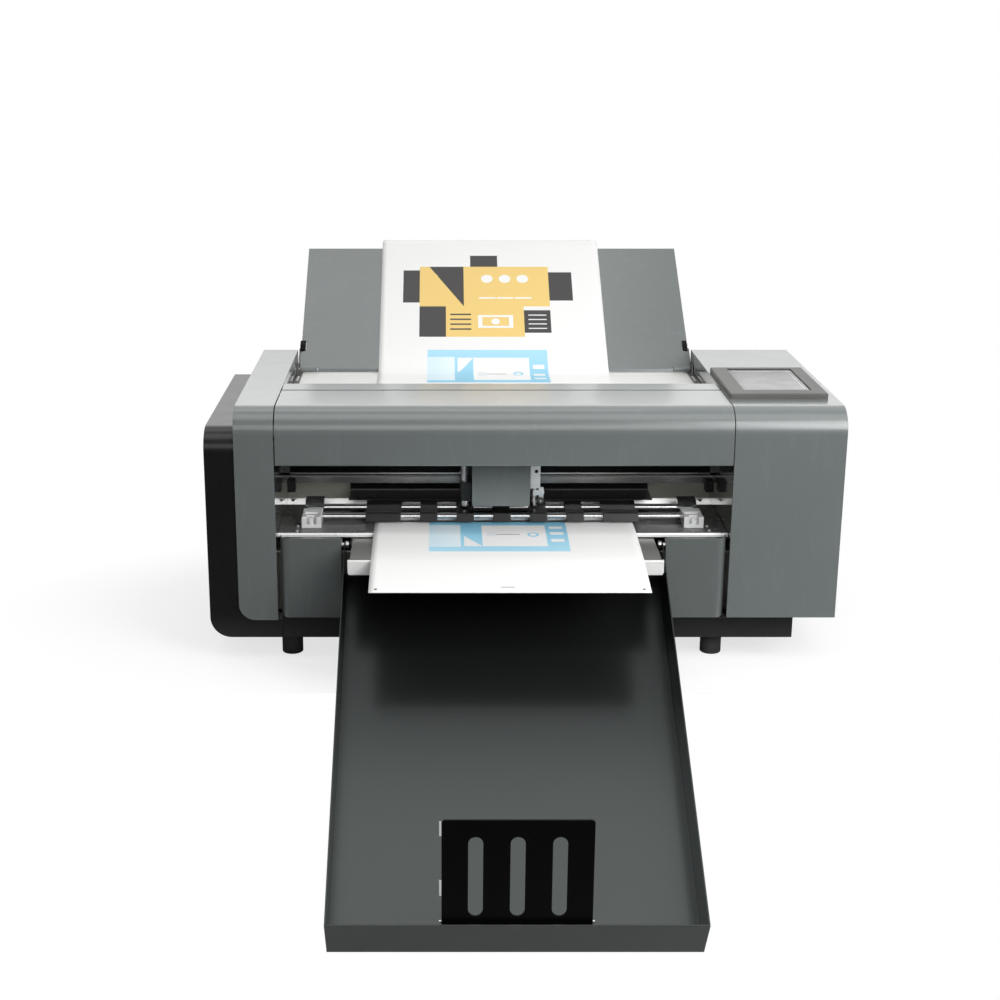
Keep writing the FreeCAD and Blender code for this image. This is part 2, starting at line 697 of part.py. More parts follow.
def pinch_shaft(row):
    return rod_x(-PINCH_REACH, PINCH_REACH, ROLLER_ROWS[row], PINCH_Z, PINCH_SHAFT_R)


def pinch_rollers(row):
    y = ROLLER_ROWS[row]
    half = GRIP_LENGTH / 2
    return group([rod_x(x - half, x + half, y, PINCH_Z, PINCH_R).cut(
        rod_x(x - half - 1, x + half + 1, y, PINCH_Z, PINCH_SHAFT_R)) for x in GRIPS])


def front_bearing_blocks():
    # Clear blocks that hold the front pinch shaft, with a sprung saddle on top
    y = ROLLER_ROWS["front"]
    blocks = []
    for sx in (-1, 1):
        x0, x1 = sorted((sx * 223.0, sx * 247.0))
        xm = (x0 + x1) / 2
        block = box(x0, x1, y - 30, y + 8, TABLE, TABLE + 14)
        rims = [e for e in block.Edges
                if abs(e.Vertexes[0].Z - e.Vertexes[-1].Z) < 1e-6 and e.Vertexes[0].Z > TABLE + 1]
        block = block.makeFillet(0.8, rims)
        pocket = box(xm - 6, xm + 6, y - 31, y - 22, TABLE + 4, TABLE + 15)
        rib = box(xm - 2.5, xm + 2.5, y - 28.5, y - 22, TABLE + 4, TABLE + 12)
        top = box(x0 + 3, x1 - 3, y - 18, y - 8, TABLE + 11.5, TABLE + 15)
        bore_x0 = x0 - 1 if sx > 0 else x1 - 21
        bore = rod_x(bore_x0, bore_x0 + 22, y, PINCH_Z, PINCH_SHAFT_R + RUNNING)
        blocks.append(joined([cut(block, [pocket, top, bore]), rib]))
    return group(blocks)


def rear_bearing_blocks():
    y = ROLLER_ROWS["rear"]
    blocks = []
    for sx in (-1, 1):
        x0, x1 = sorted((sx * 223.5, sx * 247.0))
        block = prism("yz", [(y - 9, TABLE), (y + 13, TABLE), (y + 13, TABLE + 17),
                             (y - 3, TABLE + 17, 3),
                             (y - 9, TABLE + 12)], x0, x1)
        bore_x0 = x0 - 1 if sx > 0 else x1 - 21
        blocks.append(cut(block, [rod_x(bore_x0, bore_x0 + 22, y, PINCH_Z, PINCH_SHAFT_R + RUNNING)]))
    return group(blocks)


def pickup_shaft():
    return rod_x(PLATE_LEFT - PLATE - 3, PLATE_RIGHT + PLATE + 5, PICKUP_Y, PICKUP_Z, SHAFT_R)


def pickup_rollers():
    rollers = []
    for x in (-60.0, 60.0):
        rollers.append(rod_x(x - 13, x + 13, PICKUP_Y, PICKUP_Z, PICKUP_R).cut(
            rod_x(x - 14, x + 14, PICKUP_Y, PICKUP_Z, SHAFT_R)))
    return group(rollers)


def pickup_motor():
    x0 = PLATE_RIGHT + PLATE + 6
    body = box(x0, x0 + 40, PICKUP_Y - 21, PICKUP_Y + 21, PICKUP_Z - 21, PICKUP_Z + 21)
    posts = [box(PLATE_RIGHT + PLATE, x0, PICKUP_Y + sy * 17 - 3, PICKUP_Y + sy * 17 + 3,
                 PICKUP_Z + sz * 17 - 3, PICKUP_Z + sz * 17 + 3) for sy in (-1, 1) for sz in (-1, 1)]
    return joined([body] + posts)


# Beam, carriage drive and carriage

def rail_beam():
    body = box(SPAN_LEFT, SPAN_RIGHT, BEAM_FRONT, BEAM_REAR, BEAM_BOTTOM, BEAM_TOP)
    groove = box(SPAN_LEFT - 1, SPAN_RIGHT + 1, BEAM_FRONT - 1, BEAM_FRONT + 3, 196.3, RAIL_BOTTOM)
    upper = box(SPAN_LEFT - 1, SPAN_RIGHT + 1, BEAM_FRONT - 1, BEAM_FRONT + 3, 218, 230)
    hollow = box(SPAN_LEFT - 1, SPAN_RIGHT + 1, BEAM_FRONT + 6, BEAM_REAR - 3, BEAM_BOTTOM + 5,
                 BEAM_TOP - 4)
    return cut(body, [groove, upper, hollow])


def x_rail():
    z0, z1 = RAIL_BOTTOM, RAIL_BOTTOM + RAIL_HEIGHT
    y0, y1 = BEAM_FRONT - RAIL_THICK, BEAM_FRONT
    middle = (z0 + z1) / 2
    profile = [(y1, z0), (y1, z1), (y0, z1, 0.8), (y0, z0, 0.8)]
    rail = prism("yz", profile, -268.0, 267.0)
    tracks = [box(-270, 270, y0 + 2.4, y0 + 4.4, z0 - 1, z0 + 0.7),
              box(-270, 270, y0 + 2.4, y0 + 4.4, z1 - 0.7, z1 + 1)]
    holes = [rod_y(-250 + 50 * i, y0 - 1, y0 + 3, middle, 3.0) for i in range(11)]
    return cut(rail, tracks + holes)


def rail_end_stops():
    return group([box(x0, x0 + 10, BEAM_FRONT - 16, BEAM_FRONT - 0, 180.5, 195.5)
                  for x0 in (-CARRIAGE_HALF - TRAVEL - 10.3, CARRIAGE_HALF + TRAVEL + 0.3)])


def x_motor():
    y = X_PULLEY_Y
    body = box(X_MOTOR_X - 28, X_MOTOR_X + 28, y - 28, y + 28, BEAM_TOP - 56, BEAM_TOP)
    pilot = rod_z(X_MOTOR_X, y, BEAM_TOP, BEAM_TOP + 1.5, 18.8)
    return cut(joined([body, pilot]), [rod_z(X_MOTOR_X, y, BEAM_TOP - 20, BEAM_TOP + 3, 3.25)])


def x_motor_bracket():
    y = X_PULLEY_Y
    shelf = box(PLATE_RIGHT + PLATE, X_MOTOR_X + 29, y - 29, y + 29, BEAM_TOP, BEAM_TOP + 2)
    wing = box(PLATE_RIGHT + PLATE, PLATE_RIGHT + PLATE + 2, y - 29, y + 29, BEAM_TOP - 50, BEAM_TOP)
    return cut(joined([shelf, wing]), [rod_z(X_MOTOR_X, y, BEAM_TOP - 1, BEAM_TOP + 3, 18.9)])


def x_motor_shaft():
    return rod_z(X_MOTOR_X, X_PULLEY_Y, BEAM_TOP - 18, X_PULLEY_Z + X_PULLEY_WIDTH + 3, 3.2)


def x_motor_pulley():
    return toothed_pulley("z", (X_MOTOR_X, X_PULLEY_Y), X_PULLEY_Z, X_PULLEY_WIDTH, X_PULLEY_R, 3.2)


def x_idler_pulley():
    return toothed_pulley("z", (X_IDLER_X, X_PULLEY_Y), X_PULLEY_Z, X_PULLEY_WIDTH, X_PULLEY_R, 4.05)


def x_idler_pin():
    shank = rod_z(X_IDLER_X, X_PULLEY_Y, BEAM_TOP, X_PULLEY_Z + X_PULLEY_WIDTH + 3, 4.0)
    collar = rod_z(X_IDLER_X, X_PULLEY_Y, BEAM_TOP, X_PULLEY_Z - 0.5, 7.0)
    cap = rod_z(X_IDLER_X, X_PULLEY_Y, X_PULLEY_Z + X_PULLEY_WIDTH + 0.5,
                X_PULLEY_Z + X_PULLEY_WIDTH + 3, 6.0)
    return joined([shank, collar, cap])


def x_belt():
    wheels = [(X_IDLER_X, X_PULLEY_Y, X_PULLEY_R), (X_MOTOR_X, X_PULLEY_Y, X_PULLEY_R)]
    z0 = X_PULLEY_Z + 1.5
    return belt_loop("xy", wheels, CLEAR, BELT, z0, z0 + X_PULLEY_WIDTH - 3)


def carriage_block():
    z0, z1 = RAIL_BOTTOM, RAIL_BOTTOM + RAIL_HEIGHT
    block = box(-22.5, 22.5, -66.5, BEAM_FRONT - 0.8, z0 - 7.5, z1 + 7.5)
    channel = box(-30, 30, BEAM_FRONT - RAIL_THICK - 0.3, BEAM_FRONT, z0 - 0.3, z1 + 0.3)
    return cut(block, [channel])


def carriage_plate():
    rear = -66.5
    front = CARRIAGE_PLATE_FRONT
    plate = prism("xz", [(-CARRIAGE_HALF, 183, 3), (CARRIAGE_HALF, 183, 3), (CARRIAGE_HALF, 288, 6),
                         (-CARRIAGE_HALF, 288, 6)], front, rear)
    arm = box(-12, 12, rear - 0.5, -53, X_PULLEY_Z + 3, 254.5)
    clamp = box(-12, 12, -53.5, -44, X_PULLEY_Z + 0.2, 254.5)
    belt_y = X_PULLEY_Y - X_PULLEY_R - CLEAR - BELT / 2
    slot = box(-14, 14, belt_y - 1.3, belt_y + 1.3, X_PULLEY_Z - 1, X_PULLEY_Z + X_PULLEY_WIDTH - 1)
    rails = [box(x - 3, x + 3, front - 3, front + 0.5, 190, 285) for x in (CREASE_X + 2.5, CUT_X + 1.5)]
    return cut(joined([plate, arm, clamp] + rails), [slot])


def carriage_cover():
    top = 275.0
    outer = prism("xz", [(COVER_LEFT, CARRIAGE_BOTTOM, 2), (COVER_RIGHT, CARRIAGE_BOTTOM, 2),
                         (COVER_RIGHT, top), (COVER_LEFT, top)], CARRIAGE_FRONT, CARRIAGE_PLATE_FRONT)
    inner = box(COVER_LEFT + 1.5, COVER_RIGHT - 1.5, CARRIAGE_FRONT + 1.5, 0, CARRIAGE_BOTTOM + 1.5,
                top - 1.5)
    return cut(outer, [inner])


def tool_solenoids():
    # Two lifting magnets under the carriage cover, one for each tool
    magnets = []
    for x in (-18.0, 15.0):
        can = rod_z(x, -99.0, 205, 250, 13.0)
        foot = box(x - 6, x + 6, -99.0, CARRIAGE_PLATE_FRONT, 222, 232)
        magnets.append(joined([can, foot, rod_z(x, -99.0, 250, 256, 4.0)]))
    return group(magnets)


def crease_sleeve():
    sleeve = rod_z(CREASE_X, TOOL_Y, 204, 266, 5.0)
    ring = rod_z(CREASE_X, TOOL_Y, 214, 216, 5.8)
    return joined([sleeve, ring])


def crease_clamp():
    # Black body that holds the creasing tool, and its slide on the carriage
    body = prism("xy", [(CREASE_X - 6, TOOL_Y - 9, 3), (CREASE_X + 8.7, TOOL_Y - 9, 1),
                        (CREASE_X + 8.7, TOOL_Y + 8, 1),
                        (CREASE_X - 6, TOOL_Y + 8, 1)], 181, 204)
    neck = box(CREASE_X - 3, CREASE_X + 7, TOOL_Y + 6.2, CARRIAGE_PLATE_FRONT - 3.4, 190, 240)
    return joined([body, neck])


def crease_tool():
    # Creasing tool: steel foot that carries a small wheel
    foot = rod_z(CREASE_X, TOOL_Y, TOOL_TIP + 4, 181, 6.2)
    foot = foot.makeFillet(1.0, [foot.Edges[0]])
    fork = box(CREASE_X - 2.5, CREASE_X + 2.5, TOOL_Y - 2.5, TOOL_Y + 2.5, TOOL_TIP + 2.4,
               TOOL_TIP + 4.5)
    wheel = rod_x(CREASE_X - 0.6, CREASE_X + 0.6, TOOL_Y, TOOL_TIP + 2.5, 2.5)
    return joined([foot, fork, wheel])


def cut_slide():
    # Silver block that slides on the carriage and holds the cutting tool
    x0, x1 = 35.6, 48.0
    block = box(x0, x1, TOOL_Y - 8, TOOL_Y + 8, 197, 262)
    hole = rod_y(43.0, TOOL_Y - 9, TOOL_Y - 3, 219.0, 2.2)
    window = box(x0 + 2, x1 - 2, TOOL_Y - 9, TOOL_Y - 6.5, 226, 252)
    neck = box(CUT_X - 2.5, CUT_X + 5.5, TOOL_Y + 7, CARRIAGE_PLATE_FRONT - 3.4, 200, 240)
    return cut(joined([block, neck]), [hole, window])


def cut_tool():
    # Blade holder with a stepped nose and a short blade
    body = rod_z(CUT_X, TOOL_Y, 180, 197, 4.4)
    collar = rod_z(CUT_X, TOOL_Y, 178.5, 180, 5.4)
    nose = rod_z(CUT_X, TOOL_Y, TOOL_TIP + 3, 178.5, 2.8)
    nib = Part.makeCone(0.6, 2.0, 2.0, Vector(CUT_X, TOOL_Y, TOOL_TIP + 1), Vector(0, 0, 1))
    blade = box(CUT_X - 0.3, CUT_X + 0.3, TOOL_Y - 0.5, TOOL_Y + 0.5, TOOL_TIP, TOOL_TIP + 3)
    return joined([body, collar, nose, nib, blade])


def clamp_lever():
    # Flat spring lever of the blade clamp
    return prism("xz", [(CUT_X - 2, 187.5, 1), (CUT_X + 12, 189.0, 2), (CUT_X + 12, 195.0, 2),
                        (CUT_X - 2, 195.0, 1)],
                 TOOL_Y - 8, TOOL_Y - 5.2)


def clamp_knob():
    # Knurled thumb screw that grips the blade holder, turning on its pin
    y0 = TOOL_Y - 8.8
    centre = (CUT_X + 7.8, 181.0)
    knob = rod_y(centre[0], y0, y0 + 3.4, centre[1], 4.3)
    grips = [rod_y(centre[0] + 4.6 * math.cos(math.radians(30 * k)), y0 - 1, y0 + 9,
                   centre[1] + 4.6 * math.sin(math.radians(30 * k)), 0.7) for k in range(12)]
    return cut(knob, grips + [rod_y(centre[0], y0 - 1, y0 + 9, centre[1], 1.2 + RUNNING)])


def clamp_bracket():
    # Ear of the blade clamp that carries the thumb screw on a pin
    x = CUT_X + 7.8
    y0 = TOOL_Y - 5.2
    ear = box(CUT_X + 5.6, x + 3.5, y0, y0 + 3, 177.5, 197.5)
    pin = rod_y(x, TOOL_Y - 9.3, y0, 181.0, 1.2)
    return joined([ear, pin])


# Lid

def lid():
    path = [(FRONT + 14, LID_BOTTOM), (FRONT, LID_BOTTOM, 0.8), (FRONT, TOP, TOP_BEND - COVER),
            (LID_REAR, TOP)]
    sheet = folded("yz", path, -COVER, LID_LEFT, LID_RIGHT)
    inside = FRONT + COVER - 0.2
    roof = TOP - COVER + 0.2
    cheeks = []
    for x0 in (LID_LEFT, LID_RIGHT - COVER):
        web = prism("yz", [(inside, LID_BOTTOM + 1), (FRONT + 18, LID_BOTTOM + 1), (FRONT + 26, 286, 6),
                           (LID_PIN_Y + 4, 303), (LID_PIN_Y + 1, roof), (inside, roof, TOP_BEND - 2)],
                    x0, x0 + COVER)
        cheeks.append(web.fuse(rod_x(x0, x0 + COVER, LID_PIN_Y, LID_PIN_Z, LID_BOSS_R)))
    rib = folded("yz", [(FRONT + 60, TOP - COVER), (FRONT + 60, 304, 1.0), (FRONT + 72, 304)],
                 1.2, LID_LEFT + 6, LID_RIGHT - 6)
    bores = [rod_x(x0 - 1, x0 + COVER + 1, LID_PIN_Y, LID_PIN_Z, LID_PIN_R + RUNNING)
             for x0 in (LID_LEFT, LID_RIGHT - COVER)]
    return cut(joined([sheet, rib] + cheeks), bores)


def lid_hinge_pins():
    pins = []
    for x0, x1, head in ((PLATE_LEFT - PLATE, LID_LEFT + 3, -1),
                         (LID_RIGHT - 3, PLATE_RIGHT + PLATE, 1)):
        pin = rod_x(x0, x1, LID_PIN_Y, LID_PIN_Z, LID_PIN_R)
        hx = x0 - 1.5 if head < 0 else x1
        pins.append(joined([pin, rod_x(hx, hx + 1.5, LID_PIN_Y, LID_PIN_Z, 2.6)]))
    return group(pins)


# Touch screen

def screen_bezel():
    top = TOP + SCREEN_HEIGHT
    frame = prism("xy", [(SCREEN_LEFT, SCREEN_FRONT, 2), (SCREEN_RIGHT, SCREEN_FRONT, 2),
                         (SCREEN_RIGHT, SCREEN_REAR, 2), (SCREEN_LEFT, SCREEN_REAR, 2)], TOP, top)
    frame = frame.makeChamfer(1.2, [e for e in frame.Edges if min(v.Z for v in e.Vertexes) > top - 0.1])
    opening = box(GLASS_LEFT + 3, GLASS_RIGHT - 3, GLASS_FRONT + 3, GLASS_REAR - 3, TOP - 1, top + 1)
    recess = box(GLASS_LEFT, GLASS_RIGHT, GLASS_FRONT, GLASS_REAR, top - 3.2, top + 1)
    return cut(frame, [opening, recess])


def screen_glass():
    top = TOP + SCREEN_HEIGHT - 1.2
    return box(GLASS_LEFT + 0.1, GLASS_RIGHT - 0.1, GLASS_FRONT + 0.1, GLASS_REAR - 0.1, top - 2, top)


def display_board():
    # Display and its driver board, below the glass
    panel = box(GLASS_LEFT + 4, GLASS_RIGHT - 4, GLASS_FRONT + 4, GLASS_REAR - 4, TOP - 6, TOP + 3.7)
    board = box(GLASS_LEFT - 2, GLASS_RIGHT + 2, GLASS_FRONT + 4, GLASS_REAR - 4, TOP - 8, TOP - 6)
    posts = [rod_z(x, y, TOP - 6, TOP, 2.0) for x in (GLASS_LEFT + 1, GLASS_RIGHT - 1)
             for y in (GLASS_FRONT + 10, GLASS_REAR - 10)]
    return joined([panel, board] + posts)


# Feeder

FEED_WAY = (math.cos(FEED_SLOPE), math.sin(FEED_SLOPE))
FEED_UP = (-FEED_WAY[1], FEED_WAY[0])


def on_feeder(along, above):
    # Point of the panel's cross-section: up the slope from the pivot, and square above its face
    base_y = FEED_PIN_Y - 1.0
    base_z = FEED_PIN_Z + 0.8
    return (base_y + FEED_WAY[0] * along + FEED_UP[0] * above,
            base_z + FEED_WAY[1] * along + FEED_UP[1] * above)


def feeder_panel():
    t = FEED_SHEET
    face = prism("yz", [on_feeder(0, 0), on_feeder(FEED_LENGTH, 0), on_feeder(FEED_LENGTH, -t),
                        on_feeder(0, -t)],
                 FEED_LEFT, FEED_RIGHT)
    top = prism("yz", [on_feeder(FEED_LENGTH - t, 0), on_feeder(FEED_LENGTH, 0),
                       on_feeder(FEED_LENGTH, -12),
                       on_feeder(FEED_LENGTH - t, -12)], FEED_LEFT, FEED_RIGHT)
    lip = prism("yz", [on_feeder(0, 0), on_feeder(1.4, -t), (FEED_PIN_Y - 1.7, FEED_PIN_Z - 3.3),
                       (FEED_PIN_Y - 2.8, FEED_PIN_Z - 3.3)], FEED_LEFT, FEED_RIGHT)
    pieces = [face, top, lip]
    for x0, x1 in ((FEED_LEFT, FEED_LEFT + t), (FEED_RIGHT - t, FEED_RIGHT)):
        pieces.append(prism("yz",
                            [on_feeder(60, 0), on_feeder(FEED_LENGTH, 0), on_feeder(FEED_LENGTH, -12),
                                   on_feeder(72, -12), on_feeder(60, -3)], x0, x1))
    ribs = [prism("yz", [on_feeder(90, 0), on_feeder(FEED_LENGTH - 20, 0),
                         on_feeder(FEED_LENGTH - 26, -9),
                         on_feeder(96, -9)], x - 0.75, x + 0.75) for x in (-130.0, 130.0)]
    for x0, x1 in ((FEED_LEFT, FEED_LEFT + 24), (FEED_RIGHT - 24, FEED_RIGHT)):
        pieces.append(rod_x(x0, x1, FEED_PIN_Y, FEED_PIN_Z, 3.9))
    notches = []
    for x0, x1 in ((FEED_LEFT - 1, FEED_LEFT + 6.5), (FEED_RIGHT - 6.5, FEED_RIGHT + 1)):
        inner = 4.0
        low, high = on_feeder(34, 0), on_feeder(56, 0)
        block = prism("yz", [on_feeder(34, 2), on_feeder(56, 2), on_feeder(56, -2.4),
                             on_feeder(34, -2.4)],
                      x0 if x0 < 0 else x0 + inner, x1 - inner if x0 < 0 else x1)
        notches.append(block)
        for y, z in (low, high):
            shift = 4.0 if (y, z) == low else -4.0
            cy, cz = y + FEED_WAY[0] * shift, z + FEED_WAY[1] * shift
            cx = x1 - inner if x0 < 0 else x0 + inner
            way = Vector(0, FEED_UP[0], FEED_UP[1])
            notches.append(Part.makeCylinder(inner, 6, Vector(cx, cy, cz) - way * 3, way))
        middle = prism("yz", [on_feeder(38, 2), on_feeder(52, 2), on_feeder(52, -2.4),
                              on_feeder(38, -2.4)], x0, x1)
        notches.append(middle)
    bores = [rod_x(FEED_LEFT - 1, FEED_LEFT + 25, FEED_PIN_Y, FEED_PIN_Z, 2.05),
             rod_x(FEED_RIGHT - 25, FEED_RIGHT + 1, FEED_PIN_Y, FEED_PIN_Z, 2.05)]
    return cut(joined(pieces + ribs), notches + bores)


def feeder_brackets():
    # Slotted straps on the deck, each with an ear for the pivot pin and a rest under the panel
    brackets = []
    under = -FEED_SHEET - 0.3
    for sx in (-1, 1):
        edge = OPENING_LEFT if sx < 0 else OPENING_RIGHT - 0.2
        inner = edge - sx * 7.5
        x0, x1 = sorted((edge, inner))
        strap = box(x0, x1, 84, 160, DECK, DECK + 1.5)
        xm = (x0 + x1) / 2
        holes = [box(xm - 1.7, xm + 1.7, 108, 144, DECK - 1, DECK + 3),
                 rod_z(xm, 108, DECK - 1, DECK + 3, 1.7),
                 rod_z(xm, 144, DECK - 1, DECK + 3, 1.7), rod_z(xm, 95, DECK - 1, DECK + 3, 1.5)]
        e0, e1 = sorted((edge, edge - sx * 1.6))
        ear = prism("yz", [(152, DECK), (184, DECK), (184, DECK + 6), (174, DECK + 12, 3),
                           (160, DECK + 12, 3)], e0, e1)
        rest = prism("yz", [(178, DECK), (186, DECK), on_feeder(42, under), on_feeder(24, under),
                            (178, DECK + 5)],
                     x0, x1)
        rest = cut(rest, [rod_x(x0 - 1, x1 + 1, FEED_PIN_Y, FEED_PIN_Z, 5.0)])
        pin = rod_x(e0, e1, FEED_PIN_Y, FEED_PIN_Z, 2.0)
        bracket = joined([strap, ear, rest])
        brackets.append(cut(bracket, holes + [pin]))
    return group(brackets)


def feeder_pins():
    pins = []
    for x0, x1 in ((OPENING_LEFT, FEED_LEFT + 20), (FEED_RIGHT - 20, OPENING_RIGHT - 0.2)):
        pins.append(rod_x(x0, x1, FEED_PIN_Y, FEED_PIN_Z, 2.0))
    return group(pins)


# Output tray

TRAY_WAY = (-math.cos(TRAY_SLOPE), -math.sin(TRAY_SLOPE))
TRAY_UP = (-math.sin(TRAY_SLOPE), math.cos(TRAY_SLOPE))


def on_tray(along, above):
    # Point of the tray's cross-section: down the slope from the pivot, and square to it
    return (TRAY_PIN_Y + TRAY_WAY[0] * along + TRAY_UP[0] * above,
            TRAY_PIN_Z + TRAY_WAY[1] * along + TRAY_UP[1] * above)


def output_tray():
    t = TRAY_SHEET
    low = TRAY_RISE - TRAY_WALL
    rear = 3.8
    floor = prism("yz", [on_tray(rear, low), on_tray(TRAY_LENGTH, low), on_tray(TRAY_LENGTH, low + t),
                         on_tray(rear, low + t)], -TRAY_HALF, TRAY_HALF)
    front = prism("yz", [on_tray(TRAY_LENGTH - t, low), on_tray(TRAY_LENGTH, low),
                         on_tray(TRAY_LENGTH, TRAY_RISE), on_tray(TRAY_LENGTH - t, TRAY_RISE)],
                  -TRAY_HALF, TRAY_HALF)
    pieces = [floor, front]
    for x0 in (-TRAY_HALF, TRAY_HALF - t):
        pieces.append(prism("yz", [on_tray(rear, low), on_tray(TRAY_LENGTH, low),
                                   on_tray(TRAY_LENGTH, TRAY_RISE),
                                   on_tray(2, TRAY_RISE), on_tray(-5, 0), on_tray(-5, -8)], x0, x0 + t))
    bores = [rod_x(-TRAY_HALF - 1, -TRAY_HALF + 3, TRAY_PIN_Y, TRAY_PIN_Z, 2.55),
             rod_x(TRAY_HALF - 3, TRAY_HALF + 1, TRAY_PIN_Y, TRAY_PIN_Z, 2.55)]
    return cut(joined(pieces), bores)


def tray_screws():
    # Shoulder screws through the front panels' flanges, on which the tray swings
    screws = []
    for sx in (-1, 1):
        x0, x1 = sorted((sx * 189.5, sx * 200.0))
        head0, head1 = sorted((sx * 187.6, sx * 191.1))
        nut0, nut1 = sorted((sx * 198.0, sx * 201.0))
        screws.append(joined([rod_x(x0, x1, TRAY_PIN_Y, TRAY_PIN_Z, 2.5),
                              rod_x(head0, head1, TRAY_PIN_Y, TRAY_PIN_Z, 4.2),
                              rod_x(nut0, nut1, TRAY_PIN_Y, TRAY_PIN_Z, 3.4)]))
    return group(screws)


STOP_PIN = (on_tray(TRAY_LENGTH, 0)[0] + 8.5, on_tray(TRAY_LENGTH, 0)[1] + 2.75)
STOP_THICK = 1.5


def tray_stop():
    # Upright plate with three slots, its rod behind it, low down behind the tray's front wall
    y, z = STOP_PIN
    face, back = y - STOP_FACE, y - STOP_FACE + STOP_THICK
    x0, x1 = STOP_LEFT, STOP_LEFT + STOP_WIDTH
    plate = prism("xz", [(x0, z - 3), (x1, z - 3), (x1, z + STOP_HEIGHT, 4), (x0, z + STOP_HEIGHT, 4)],
                  face, back)
    centre = (x0 + x1) / 2
    half = STOP_SLOT / 2
    foot = z + STOP_SLOT_FOOT
    head = foot + STOP_SLOT_LENGTH
    slots = []
    for k in (-1, 0, 1):
        x = centre + k * STOP_PITCH
        slots.append(prism("xz", [(x - half, foot, half - 0.01), (x + half, foot, half - 0.01),
                                  (x + half, head, half - 0.01), (x - half, head, half - 0.01)],
                           face - 1, back + 1))
    tabs = [box(x0 - 2.3, x0 + 1, face, back, z + low, z + high)
            for low, high in ((31.1, 48.1), (97.3, 112.8))]
    knuckles = []
    for a in (x0, centre - 7, x1 - 14):
        knuckles.append(rod_x(a, a + 14, y, z, 2.6))
        knuckles.append(box(a, a + 14, y - 3, y, z - 2.6, z + 2.6))
    bore = rod_x(x0 - 4, x1 + 4, y, z, STOP_PIN_R + RUNNING)
    return cut(joined([plate] + knuckles + tabs), slots + [bore])


def stop_hinge():
    # Rod of the stop plate, on two lugs that reach under the plate from the front wall
    y, z = STOP_PIN
    x0, x1 = STOP_LEFT, STOP_LEFT + STOP_WIDTH
    centre = (x0 + x1) / 2
    wall = TRAY_LENGTH - TRAY_SHEET
    rod = rod_x(x0 - 2.5, x1 + 2.5, y, z, STOP_PIN_R)
    lugs = []
    for a in ((x0 + 14 + centre - 7) / 2 - 8, (centre + 7 + x1 - 14) / 2 - 8):
        side = [on_tray(wall, -10), (y + 2.3, z - 9.5), (y + 2.3, z + 1.0), (y + 1.0, z + 2.3),
                (y - 1.0, z + 2.3), (y - 2.3, z + 1.0), (y - 2.3, z - 6.5), on_tray(wall, -6)]
        lugs.append(prism("yz", side, a, a + 16))
    return joined([rod] + lugs)


# Electrics

def control_board():
    x = HOUSING_RIGHT - COVER
    board = box(x - 10, x - 8.4, -110, 50, 80, 230)
    posts = [rod_x(x - 8.4, x, y, z, 3.0) for y in (-104.0, 44.0) for z in (86.0, 224.0)]
    chips = [box(x - 13, x - 10, -60, -30, 140, 170), box(x - 20, x - 10, 0, 30, 90, 130),
             box(x - 18, x - 10, -100, -88, 100, 150), box(x - 12, x - 10, -20, -5, 180, 200)]
    caps = [rod_x(x - 26, x - 10, y, 205.0, 6.0) for y in (15.0, 32.0)]
    return joined([board] + posts + chips + caps)


def power_supply():
    x0, y0, z0 = -200.0, 20.0, FOOT_HEIGHT + 2
    case = box(x0, x0 + 160, y0, y0 + 98, z0, z0 + 42)
    holes = [rod_z(x0 + 20 + 15 * i, y0 + 25 + 15 * j, z0 + 41, z0 + 43, 3.0) for i in range(8)
             for j in range(4)]
    terminals = box(x0 + 160, x0 + 172, y0 + 10, y0 + 88, z0, z0 + 20)
    return joined([cut(case, holes), terminals])


def power_inlet():
    flange = box(314, 346, REAR, REAR + 1.8, 76, 104)
    body = box(316.7, 343.3, REAR - 26, REAR + 1, 80.7, 99.3)
    recess = prism("xz", [(319, 82.5), (341, 82.5), (341, 94), (337.5, 97.5), (322.5, 97.5), (319, 94)],
                   REAR - 16, REAR + 3)
    blades = [box(x - 1, x + 1, REAR - 17, REAR - 8, z - 2.5, z + 2.5)
              for x, z in ((325.0, 87.5), (335.0, 87.5), (330.0, 92.5))]
    return joined([cut(joined([flange, body]), [recess])] + blades)


def port_block():
    # Data sockets on a small plate
    plate = box(310, 370, REAR, REAR + 1.2, 126, 154)
    body = box(313, 367, REAR - 18, REAR + 0.5, 129, 151)
    sockets = [box(318, 330, REAR - 12, REAR + 2, 134, 146),
               box(336, 346, REAR - 12, REAR + 2, 136, 144),
               box(352, 362, REAR - 12, REAR + 2, 136, 144)]
    return cut(joined([plate, body]), sockets)


ROCKER_Y = REAR - 2.0
ROCKER_Z = 90.0
ROCKER_X = 360.0


def switch_body():
    flange = box(350, 370, REAR, REAR + 1.6, 77, 103)
    body = box(352.5, 367.5, REAR - 16, REAR + 1, 79.5, 100.5)
    well = box(354.2, 365.8, REAR - 12, REAR + 3, 81.0, 99.0)
    pin = rod_x(353.5, 366.5, ROCKER_Y, ROCKER_Z, 1.0)
    return joined([cut(joined([flange, body]), [well]), pin])


def power_rocker():
    # Rocker with its upper half pressed in
    y, z = ROCKER_Y, ROCKER_Z
    rocker = prism("yz", [(y + 2.0, z + 7.6, 0.5), (y + 1.6, z), (y + 5.6, z - 7.4, 0.5),
                          (y - 2.0, z - 6.0), (y - 5.5, z),
                          (y - 3.5, z + 7.0)], 354.6, 365.4)
    return cut(rocker, [rod_x(350, 370, y, z, 1.05)])


# Loaded sheets of card

def exit_sheet():
    half = MEDIA_WIDTH / 2
    path = [(-106.0, TABLE), (TABLE_FRONT - 2, TABLE, 60.0), (-247.0, 151.3, 120.0),
            (FRONT - 144, 138.0)]
    return folded("yz", path, -MEDIA, SHEET_X - half, SHEET_X + half)


